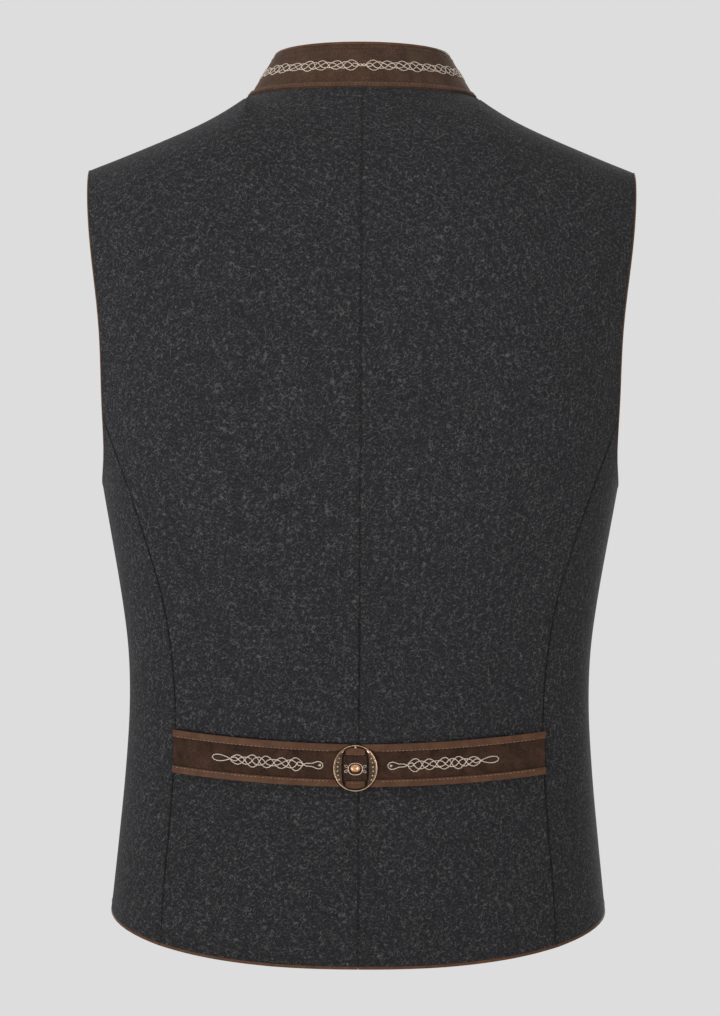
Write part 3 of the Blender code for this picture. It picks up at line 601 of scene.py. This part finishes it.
def shade_and_sink_seam(item, line):
    """Paints shade into the wool along its seams, a darker line where the groove lies, and draws the wool in
    there, as sewing does.
    """
    near = KDTree(len(line))
    for number, place in enumerate(line):
        near.insert(place, number)
    near.balance()
    place, facing = place_and_facing(item.data)
    seam_shade_and_sink = np.zeros(len(place))
    coarse = np.array([tuple(p) for p in line[::SEAM_SKIP]])
    for number in range(0, len(place), BATCH):
        part = place[number:number + BATCH]
        gaps = np.linalg.norm(part[:, None, :] - coarse[None, :, :], axis=2).min(axis=1)
        for i in np.nonzero(gaps < SEAM_REACH)[0]:
            seam_shade_and_sink[number + i] = math.exp(-(near.find(part[i])[2] / SEAM_WIDTH) ** 2)
    # The painted shade is stored on the mesh for the wool's colour to read
    item.data.attributes.new(SEAM_SHADE_MARK, "FLOAT", "POINT").data.foreach_set("value", seam_shade_and_sink)
    away = place * (1.0, 1.0, 0.0)
    away /= np.maximum(np.linalg.norm(away, axis=1), 1e-6)[:, None]
    outer = np.sum(facing * away, axis=1) > 0.5
    place -= away * (SEAM_DEPTH * seam_shade_and_sink * outer)[:, None]
    item.data.vertices.foreach_set("co", place.ravel())
    item.data.update()


def settle(item):
    """Makes a piece's modifiers part of its mesh."""
    bpy.context.view_layer.update()
    seen = item.evaluated_get(bpy.context.evaluated_depsgraph_get())
    mesh = bpy.data.meshes.new_from_object(seen)
    mesh.name = item.name
    item.modifiers.clear()
    item.data = mesh
    return item


def distance_to_line(spots, points):
    """Distance of each spot to a line of points in the plane, and how far along the line it is."""
    best = np.full(len(spots), 1e9)
    along = np.zeros(len(spots))
    steps = [math.dist(a, b) for a, b in zip(points, points[1:])]
    whole, done = sum(steps), 0.0
    for a, b, step in zip(points, points[1:], steps):
        way = (np.array(b) - np.array(a)) / step
        reach = np.clip((spots - np.array(a)) @ way, 0.0, step)
        gap = np.linalg.norm(spots - (np.array(a) + reach[:, None] * way), axis=1)
        nearer = gap < best
        best = np.where(nearer, gap, best)
        along = np.where(nearer, (done + reach) / whole, along)
        done += step
    return best, along


def place_and_facing(mesh):
    """Places and normals of a mesh's corners, a row for each."""
    place = np.zeros(len(mesh.vertices) * 3)
    facing = np.zeros(len(mesh.vertices) * 3)
    mesh.vertices.foreach_get("co", place)
    mesh.vertices.foreach_get("normal", facing)
    return place.reshape(-1, 3), facing.reshape(-1, 3)


def crease(item):
    """Moves the wool along its own direction by the soft troughs and ridges."""
    mesh = item.data
    place, facing = place_and_facing(mesh)
    away = place * (1.0, 1.0, 0.0)
    outward = np.sign(np.sum(facing * away, axis=1))
    shift = np.zeros(len(place))
    for side, height, width, points in CREASES:
        there = place[:, 1] > CREASE_SIDE if side == "back" else place[:, 1] < -CREASE_SIDE
        gap, along = distance_to_line(place[:, (0, 2)], points)
        fade = np.clip(np.minimum(along, 1 - along) * CREASE_FADE + CREASE_END, 0.0, 1.0)
        shift += np.where(there, height * np.exp(-(gap / width) ** 2) * fade * fade * (3 - 2 * fade), 0.0)
    place += facing * (shift * outward)[:, None]
    mesh.vertices.foreach_set("co", place.ravel())
    mesh.update()


def rest_between(bm):
    """Relaxes the wool above a height, but not its cut edges."""
    fixed = {v for e in sharp_edges(bm, SHARP) for v in e.verts}
    loose = [v for v in bm.verts if v not in fixed and v.co.z > REST_ABOVE]
    for _ in range(REST_ROUNDS):
        bmesh.ops.smooth_vert(
            bm, verts=loose, factor=0.4, use_axis_x=True, use_axis_y=True, use_axis_z=True)


def surface_of(*items):
    """Something to lay thread on: the shown surface of some pieces."""
    deps = bpy.context.evaluated_depsgraph_get()
    whole = bmesh.new()
    for item in items:
        whole.from_object(item, deps)
    tree = BVHTree.FromBMesh(whole)
    whole.free()
    return tree


def touch(tree, start, way):
    """Where a line from start meets the surface, and the way that the surface faces there."""
    spot, facing, _, _ = tree.ray_cast(start, way)
    if spot is None:
        raise RuntimeError(f"nothing lies under {tuple(start)}")
    if facing.dot(way) > 0:
        facing = -facing
    return spot, facing


def resample(points, step):
    """Evenly spaced points on a line of plane points."""
    gaps = [math.dist(a, b) for a, b in zip(points, points[1:])]
    along = np.concatenate(((0.0,), np.cumsum(gaps)))
    count = max(int(round(along[-1] / step)), 2)
    at = np.linspace(0.0, along[-1], count + 1)
    xs = np.interp(at, along, [p[0] for p in points])
    zs = np.interp(at, along, [p[1] for p in points])
    return list(zip(xs, zs))


def curve_through(points, steps=8):
    """A smooth line through plane points."""
    ends = [points[0], *points, points[-1]]
    line = []
    for a, b, c, d in zip(ends, ends[1:], ends[2:], ends[3:]):
        for i in range(steps):
            t = i / steps
            line.append(tuple(
                0.5 * (2 * q + (r - p) * t + (2 * p - 5 * q + 4 * r - s) * t * t
                       + (3 * q - p - 3 * r + s) * t ** 3)
                for p, q, r, s in zip(a, b, c, d)))
    return line + [points[-1]]


def sew(bm, points, lay, stitch, half, lean=0.16, share=1.30, sink=0.05):
    """Stitches along plane points: lay gives the place and facing on the cloth."""
    spots = [lay(*p) for p in resample(points, stitch)]
    for (a, up_a), (b, up_b) in zip(spots, spots[1:]):
        one_stitch(bm, a, b, (up_a + up_b).normalized(), half, share, sink, lean)


@lru_cache(maxsize=None)
def stitch_shape():
    """Corners and faces of a ball, its poles along x."""
    bm = bmesh.new()
    bmesh.ops.create_uvsphere(
        bm, u_segments=6, v_segments=5, radius=1.0, matrix=Matrix.Rotation(math.pi / 2, 4, "Y"))
    bm.verts.index_update()
    shape = [v.co.copy() for v in bm.verts], [[v.index for v in f.verts] for f in bm.faces]
    bm.free()
    return shape


def one_stitch(bm, a, b, up, half, share, sink, lean=0.0):
    """A stitch between two places: a stretched ball, turned a little by its lean."""
    way = b - a
    side = up.cross(way).normalized()
    way = (way.normalized() + side * lean).normalized()
    side = up.cross(way).normalized()
    turn = Matrix((way, side, way.cross(side))).transposed().to_4x4()
    size = Matrix.Diagonal((math.dist(a, b) * share / 2, half, half * 0.85, 1.0))
    centre = Matrix.Translation((a + b) / 2 + up * half * (1 - sink))
    corners, faces = stitch_shape()
    whole = centre @ turn @ size
    verts = [bm.verts.new(whole @ corner) for corner in corners]
    for face in faces:
        bm.faces.new([verts[i] for i in face])


def stitch_inside(bm, faces):
    """The thread in the middle of a seam, along each face that meets a neighbour's."""
    for face in faces:
        across = sorted(face.edges, key=lambda e: e.calc_length())[:2]
        a, b = ((e.verts[0].co + e.verts[1].co) / 2 for e in across)
        count = max(round((b - a).length / sizes().seam_stitch), 1)
        for i in range(count):
            one_stitch(bm, a.lerp(b, i / count), a.lerp(b, (i + 1) / count), face.normal,
                       INSIDE_THREAD, share=1.5, sink=1.0)


# Collar

def collar_place(turn, share):
    """A point of the collar's outer side, before it is set on the surface. Turn 0 is the centre back."""
    front = abs(turn) > math.pi / 2
    ahead = math.pi - abs(turn) if front else abs(turn)
    side = math.copysign(1.0, turn) if turn else 1.0
    bend = math.cos(ahead) ** NECK_BEND if front else math.sin(ahead) ** 2
    if front:
        foot_z = NECK_SIDE_Z + (NECK_FRONT_Z - NECK_SIDE_Z) * bend
        top_z = COLLAR_SIDE_Z + (COLLAR_FRONT_Z - COLLAR_SIDE_Z) * bend
        depths = (-NECK_BEFORE, -COLLAR_BEFORE)
    else:
        foot_z = NECK_BACK_Z + (NECK_SIDE_Z - NECK_BACK_Z) * bend
        top_z = COLLAR_BACK_Z + (COLLAR_SIDE_Z - COLLAR_BACK_Z) * bend
        depths = (NECK_BEHIND, COLLAR_BEHIND)
    foot = Vector((side * NECK_HALF * math.sin(ahead), NECK_Y + depths[0] * math.cos(ahead), foot_z))
    top = Vector((side * COLLAR_HALF * math.sin(ahead), NECK_Y + depths[1] * math.cos(ahead), top_z))
    return foot.lerp(top, share), (top - foot).normalized()


def collar_lay(surface):
    """Lays a plane point (length along the collar, height up it) on the collar."""
    turns = np.linspace(-math.pi, math.pi, 721)
    spots = [collar_place(t, 0.5)[0] for t in turns]
    along = np.concatenate(((0.0,), np.cumsum([math.dist(a, b) for a, b in zip(spots, spots[1:])])))
    along -= along[len(along) // 2]

    def lay(length, height):
        turn = float(np.interp(length, along, turns))
        middle, rising = collar_place(turn, 0.5)
        spot = middle + rising * height
        way = Vector((spot.x, spot.y - NECK_Y, 0)).normalized()
        return touch(surface, spot + way * OFF_COLLAR, -way)

    return lay


def wobble(x):
    """The small unevenness of handwork at one place along a line."""
    return sum(height * math.sin(turns * x + shift) for height, turns, shift in WOBBLES)


def plait(start, end, units, half):
    """Four strands: two cross between the units, and two narrower ones cross in the middle of each."""
    lines = [[], [], [], []]
    unit = (end - start) / units
    count = int((end - start) / PLAIT_STEP)
    for i in range(count + 1):
        x = start + (end - start) * i / count
        share = (x - start) / unit
        taper = min((x - start) / (PLAIT_TAPER * unit), (end - x) / (PLAIT_TAPER * unit), 1.0)
        swell_here = half * (1 + 0.14 * math.sin(2.3 * share + 0.5))
        outer = math.sin(math.pi * share)
        inner = math.cos(math.pi * share + 0.25 * math.sin(1.9 * share))
        outer = math.copysign(abs(outer) ** PLAIT_ROUND, outer) * swell_here
        inner = math.copysign(abs(inner) ** PLAIT_ROUND, inner) * swell_here * PLAIT_INNER * taper
        for line, wave, shift in zip(lines, (outer, -outer, inner, -inner), (0.0, 0.011, 0.023, 0.037)):
            line.append((x, wave + wobble(x + shift)))
    return lines


def oval(x, z, half_x, half_z, count=28):
    line = []
    for i in range(count + 1):
        turn = 2 * math.pi * i / count
        line.append((x + half_x * math.cos(turn),
                     z + half_z * math.sin(turn) + 0.06 * half_z * math.sin(3 * turn)))
    return line


class VEST_OT_wool(bpy.types.Operator):
    """Back and front panels of boiled wool"""

    bl_idname = "vest.wool"
    bl_label = "Wool panels"

    def execute(self, context):
        thread = bmesh.new()
        for node, (width, length, area) in PANELS.items():
            bm = merged_copy(node)
            rest_between(bm)
            seams = seam_edges(bm, node)
            line = seam_line(seams)
            cuts = cut_faces(bm)
            sewn = {v for e in seams for v in e.verts}
            stitch_inside(thread, [f for f in cuts if sewn.issuperset(f.verts)])
            swell(cuts, SEAM_CLOSE, seam_ends(bm, seams))
            round_edges(bm, sizes().wool_round)
            item = piece(f"{node}_cloth", bm, "boiled_wool", (node,), levels=2)
            settle(item)
            shade_and_sink_seam(item, line)
            crease(item)
        piece("seam_threads", thread, "hole_thread")
        return {"FINISHED"}


class VEST_OT_bindings(bpy.types.Operator):
    """Leather bindings of the hem, armholes and collar"""

    bl_idname = "vest.bindings"
    bl_label = "Bindings"

    def execute(self, context):
        for side in ("left", "right"):
            for part in ("armhole_binding", "hem_binding_back", "hem_binding_front", "collar_binding"):
                node = f"{part}_{side}"
                dress(node, f"{node}_leather", "waxed_leather", "leather_brown", levels=1,
                      closing=BINDING_CLOSE)
        return {"FINISHED"}


class VEST_OT_collar(bpy.types.Operator):
    """Suede collar, its foot strip, embroidery and stitches"""

    bl_idname = "vest.collar"
    bl_label = "Collar"

    def execute(self, context):
        stand = settle(dress("collar_stand", "collar_suede", "collar_suede", "suede_brown"))
        foot = dress("collar_foot_strip", "collar_foot_leather", "edge_suede", "leather_brown")
        lay = collar_lay(surface_of(stand, foot))
        bm = bmesh.new()
        for side in (1, -1):
            self.side(bm, lay, side)
        piece("collar_embroidery", bm, "linen_thread")
        bm = bmesh.new()
        for height in COLLAR_SEAMS:
            row = [(COLLAR_SEAM_REACH * i / 40, height) for i in range(-40, 41)]
            sew(bm, row, lay, sizes().seam_stitch, sizes().seam_thread, lean=0.0, share=0.55, sink=0.7)
        piece("collar_seam_stitches", bm, "hole_thread")
        return {"FINISHED"}

    def side(self, bm, lay, side):
        def rise(x):
            return PATTERN_RISE[0] + PATTERN_RISE[1] * min(x / PATTERN_RISE[2], 1.0) ** 2

        lines = plait(*COLLAR_PLAIT)
        lines.append(oval(*COLLAR_DOT, count=14))
        for line in lines:
            sew(bm, [(side * x, z + rise(x)) for x, z in line], lay, sizes().stitch, sizes().thread)


class VEST_OT_belt(bpy.types.Operator):
    """Belt halves, their leather edges, embroidery and stitches"""

    bl_idname = "vest.belt"
    bl_label = "Belt"

    def execute(self, context):
        made = []
        for side in ("left", "right"):
            made.append(dress(f"belt_{side}", f"belt_{side}_suede", "belt_suede", "suede_brown"))
            for row in ("top", "foot"):
                node = f"belt_edge_{row}_{side}"
                made.append(dress(node, f"{node}_leather", "waxed_leather", "leather_brown"))
        surface = surface_of(*made)
        bm = bmesh.new()
        seams = bmesh.new()
        for side in (1, -1):
            self.side(bm, seams, surface, side)
        piece("belt_embroidery", bm, "linen_thread")
        piece("belt_seam_stitches", seams, "seam_thread")
        return {"FINISHED"}

    def side(self, bm, seams, surface, side):
        def lay(x, z):
            place = RING_CENTRE[0] + side * x
            middle = BELT_MID_Z + BELT_RISE * (abs(place) / BELT_REACH) ** BELT_BEND
            return touch(surface, Vector((place, BEHIND, middle + z)), FORWARD)

        lines = plait(*BELT_PLAIT)
        lines.append(curve_through(BELT_LOOP + [(x, -z) for x, z in reversed(BELT_LOOP[:-1])]))
        lines.append(curve_through(BELT_DROP + [(x, -z) for x, z in reversed(BELT_DROP[:-1])]))
        lines.append(oval(*BELT_DOT, count=12))
        for line in lines:
            sew(bm, line, lay, sizes().stitch, sizes().thread)
        for way in (1, -1):
            row = []
            for i in range(41):
                share = i / 40
                half = BELT_HALF[0] + (BELT_HALF[1] - BELT_HALF[0]) * share
                row.append((BELT_SEAM_START + BELT_SEAM_RUN * share, way * (half - BELT_SEAM_INSET)))
            sew(seams, row, lay, sizes().seam_stitch, sizes().seam_thread, lean=0.0, share=0.78)


class VEST_OT_ring(bpy.types.Operator):
    """Metal ring with its beads, the tab through it and the rivet"""

    bl_idname = "vest.ring"
    bl_label = "Ring and tab"

    def execute(self, context):
        tab = []
        for node, look, slot, rounder in (("belt_bridge", "belt_suede", "suede_brown", 2.2),
                                          ("bridge_edge_top", "waxed_leather", "leather_brown", 1.0),
                                          ("bridge_edge_foot", "waxed_leather", "leather_brown", 1.0)):
            tab.append(dress(node, f"{node}_tab", look, slot, sizes().leather_round * rounder, segments=3))
        centre = Vector((RING_CENTRE[0], 0.0, RING_CENTRE[1]))
        self.metal_ring(centre)
        self.embroider(surface_of(*tab))
        bm = merged_copy("rivet")
        top = max(v.co.y for v in bm.verts)
        for vert in bm.verts:
            off = vert.co - centre - Vector(RIVET_SHIFT)
            reach = math.hypot(off.x, off.z) / RIVET_HALF
            if vert.co.y > top - RIVET_HEAD and reach < DIMPLE_REACH:
                vert.co.y -= DIMPLE_DEPTH * (1 - reach / DIMPLE_REACH)
        round_edges(bm, RIVET_ROUND, METAL_SHARP)
        piece("rivet_copper", bm, "rubbed_copper", ("rivet",), levels=2)
        return {"FINISHED"}

    def metal_ring(self, centre):
        """The cast ring, its two rows of beads and the small point at its top."""
        bm = merged_copy("buckle_ring")
        round_edges(bm, RING_ROUND, METAL_SHARP, segments=1)
        flats = []
        for face in bm.faces:
            off = face.calc_center_median() - centre
            if math.hypot(off.x / RING_HALF[0], off.z / RING_HALF[1]) < RING_INNER:
                face.material_index = 1
                if face.normal.y > 0.7:
                    flats.append(face)
        bmesh.ops.inset_region(bm, faces=flats, thickness=RING_INSET, depth=0.0, use_even_offset=True)
        ring = piece("ring_metal", bm, ("antique_brass", "bronze_patina"), ("buckle_ring",),
                     levels=1)
        surface = surface_of(ring)
        bm = bmesh.new()
        for z in BEAD_ROWS:
            for side in (1, -1):
                x = side * (BEAD_X - BEAD_BEND * (z / BEAD_ROWS[0]) ** 2)
                spot, _ = touch(surface, centre + Vector((x, BEHIND, z)), FORWARD)
                bmesh.ops.create_icosphere(bm, subdivisions=2, radius=BEAD_RADIUS,
                                           matrix=Matrix.Translation(spot))
        spot, _ = touch(surface, centre + Vector((0, BEHIND, RING_HALF[1] - POINT_IN)), FORWARD)
        bmesh.ops.create_cone(bm, cap_ends=True, segments=10, **RING_POINT,
                              matrix=Matrix.Translation(spot - Vector(POINT_SHIFT))
                              @ Matrix.Rotation(math.pi, 4, "X"))
        piece("ring_beads", bm, "antique_brass")

    def embroider(self, surface):
        """The thread round the rivet and the small bows beside it."""
        def lay(x, z):
            return touch(surface, Vector((RING_CENTRE[0] + x, BEHIND, RING_CENTRE[1] + z)), FORWARD)

        bm = bmesh.new()
        sew(bm, oval(0.0, 0.0, *EYE_HALF), lay, sizes().stitch * 0.6, sizes().thread * 0.9)
        for x, z in BOWS:
            lean = math.copysign(0.5, x * z)
            loop = [(x + (px * math.cos(lean) - pz * math.sin(lean)),
                     z + (px * math.sin(lean) + pz * math.cos(lean)))
                    for px, pz in oval(0.0, 0.0, *BOW_HALF, count=14)]
            sew(bm, loop, lay, sizes().stitch * 0.4, sizes().thread * 0.55)
        piece("tab_embroidery", bm, "linen_thread")
        bm = bmesh.new()
        for z in TAB_SEAMS:
            row = [(-TAB_SEAM_HALF + 2 * TAB_SEAM_HALF * i / 12, z) for i in range(13)]
            sew(bm, row, lay, sizes().seam_stitch * 0.8, sizes().seam_thread * 0.8, lean=0.0, share=0.7)
        piece("tab_seam_stitches", bm, "seam_thread")


class VEST_OT_buttons(bpy.types.Operator):
    """Domed metal buttons down the front"""

    bl_idname = "vest.buttons"
    bl_label = "Buttons"

    def execute(self, context):
        for number in range(1, BUTTON_COUNT + 1):
            node = f"button_{number}"
            dress(node, f"{node}_brass", "aged_brass", "brass_antique", BUTTON_ROUND, degrees=METAL_SHARP)
        return {"FINISHED"}


class VEST_OT_sewing(bpy.types.Operator):
    """Stitches along the hem, and the worked buttonholes"""

    bl_idname = "vest.sewing"
    bl_label = "Sewing"

    def execute(self, context):
        cloth = surface_of(*[bpy.data.objects[f"{node}_cloth"] for node in PANELS])
        bm = bmesh.new()
        self.hem(bm, cloth)
        piece("hem_stitches", bm, "hole_thread")
        bm = bmesh.new()
        for number in range(BUTTON_COUNT):
            self.buttonhole(bm, cloth, BUTTON_TOP - BUTTON_STEP * number)
        piece("buttonholes", bm, "hole_thread")
        return {"FINISHED"}

    def hem(self, bm, cloth):
        """A line of stitches a little above the hem binding, all round."""
        tops = {}
        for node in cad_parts:
            if node.startswith("hem_binding"):
                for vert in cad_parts[node].data.vertices:
                    step = round(math.atan2(vert.co.x, vert.co.y) / HEM_BIN)
                    tops[step] = max(tops.get(step, -math.inf), vert.co.z)
        steps = sorted(tops)
        turns = [step * HEM_BIN for step in steps]
        heights = [tops[step] for step in steps]

        def lay(turn):
            way = Vector((math.sin(turn), math.cos(turn), 0))
            height = float(np.interp(turn, turns, heights)) + HEM_STITCH_RISE
            return touch(cloth, Vector((0, 0, height)) + way * AROUND, -way)

        for start, end in HEM_RUNS:
            count = int((end - start) * HEM_RADIUS / sizes().seam_stitch)
            spots = [lay(start + (end - start) * i / count) for i in range(count + 1)]
            for (a, up_a), (b, up_b) in zip(spots, spots[1:]):
                one_stitch(bm, a, b, (up_a + up_b).normalized(), sizes().seam_thread, HEM_SHARE, sink=0.5)

    def buttonhole(self, bm, cloth, height):
        """Close stitches round a slit that runs from under the button towards the side."""
        def lay(x, z):
            return touch(cloth, Vector((x, BEFORE, z)), Vector((0, 1, 0)))

        for side in (1, -1):
            for i in range(HOLE_STITCHES):
                x = HOLE_START + (HOLE_END - HOLE_START) * (i + 0.5) / HOLE_STITCHES
                (a, up), (b, _) = lay(x, height + side * SLIT_HALF), lay(x, height + side * HOLE_HALF)
                one_stitch(bm, a, b, up, sizes().seam_thread * 1.1, share=1.15, sink=0.2)
        (a, up), (b, _) = lay(HOLE_END, height - HOLE_HALF), lay(HOLE_END, height + HOLE_HALF)
        one_stitch(bm, a, b, up, sizes().seam_thread * 1.8, share=1.1, sink=0.2)


class VEST_OT_stage(bpy.types.Operator):
    """Pale floor, soft light and the camera"""

    bl_idname = "vest.stage"
    bl_label = "Stage"

    def execute(self, context):
        scene = bpy.context.scene
        bm = bmesh.new()
        bmesh.ops.create_circle(bm, cap_ends=True, segments=64, radius=FLOOR_RADIUS,
                                matrix=Matrix.Translation((0, 0, FLOOR_Z)))
        mesh = bpy.data.meshes.new("floor")
        bm.to_mesh(mesh)
        bm.free()
        floor = bpy.data.objects.new("floor", mesh)
        mesh.materials.append(tuned("painted_floor"))
        scene.collection.objects.link(floor)
        self.light(scene)
        lens = bpy.data.cameras.new("camera")
        lens.lens = CAMERA_LENS
        lens.sensor_width = 36.0
        lens.shift_x = CAMERA_SHIFT
        camera = bpy.data.objects.new("camera", lens)
        camera.location = CAMERA_PLACE
        camera.rotation_euler = (math.radians(90), math.radians(CAMERA_ROLL), math.radians(180))
        scene.collection.objects.link(camera)
        scene.camera = camera
        scene.view_settings.view_transform = "Standard"
        return {"FINISHED"}

    def light(self, scene):
        """An even pale room, seen as such, a soft key from the side and softer fills all round."""
        world = bpy.data.worlds.new("studio")
        world.use_nodes = True
        scene.world = world
        tree = world.node_tree
        sky = tree.nodes["Background"]
        path = add(tree, "ShaderNodeLightPath")
        open_wall = calc(tree, "MAXIMUM", path.outputs["Is Camera Ray"], path.outputs["Is Glossy Ray"])
        tree.links.new(spread(tree, open_wall, to_low=ROOM_LIGHT), sky.inputs["Strength"])
        sky.inputs["Color"].default_value = (*linear("DDDDDD"), 1.0)
        for name, strength, angle, place in LAMPS:
            lamp = bpy.data.lights.new(name, "SUN")
            lamp.energy = strength
            lamp.angle = math.radians(angle)
            item = bpy.data.objects.new(name, lamp)
            item.rotation_euler = Vector(place).to_track_quat("Z", "Y").to_euler()
            scene.collection.objects.link(item)


OPERATORS = (VEST_OT_wool, VEST_OT_bindings, VEST_OT_collar, VEST_OT_belt, VEST_OT_ring, VEST_OT_buttons,
             VEST_OT_sewing, VEST_OT_stage)


class VEST_PT_panel(bpy.types.Panel):
    bl_idname = "VEST_PT_panel"
    bl_label = "Folk Vest"
    bl_space_type = "VIEW_3D"
    bl_region_type = "UI"
    bl_category = "Vest"

    def draw(self, context):
        for operator in OPERATORS:
            self.layout.operator(operator.bl_idname)
        for group in (context.scene.vest_sizes, context.scene.vest_colours):
            for name in group.__annotations__:
                self.layout.prop(group, name)


CLASSES = (VestColours, VestSizes, *OPERATORS, VEST_PT_panel)


def register():
    for item in CLASSES:
        bpy.utils.register_class(item)
    bpy.types.Scene.vest_sizes = bpy.props.PointerProperty(type=VestSizes)
    bpy.types.Scene.vest_colours = bpy.props.PointerProperty(type=VestColours)


def unregister():
    del bpy.types.Scene.vest_sizes
    del bpy.types.Scene.vest_colours
    for item in reversed(CLASSES):
        bpy.utils.unregister_class(item)


def main():
    register()
    bpy.ops.vest.wool()
    bpy.ops.vest.bindings()
    bpy.ops.vest.collar()
    bpy.ops.vest.belt()
    bpy.ops.vest.ring()
    bpy.ops.vest.buttons()
    bpy.ops.vest.sewing()
    bpy.ops.vest.stage()


if __name__ == "__main__":
    main()
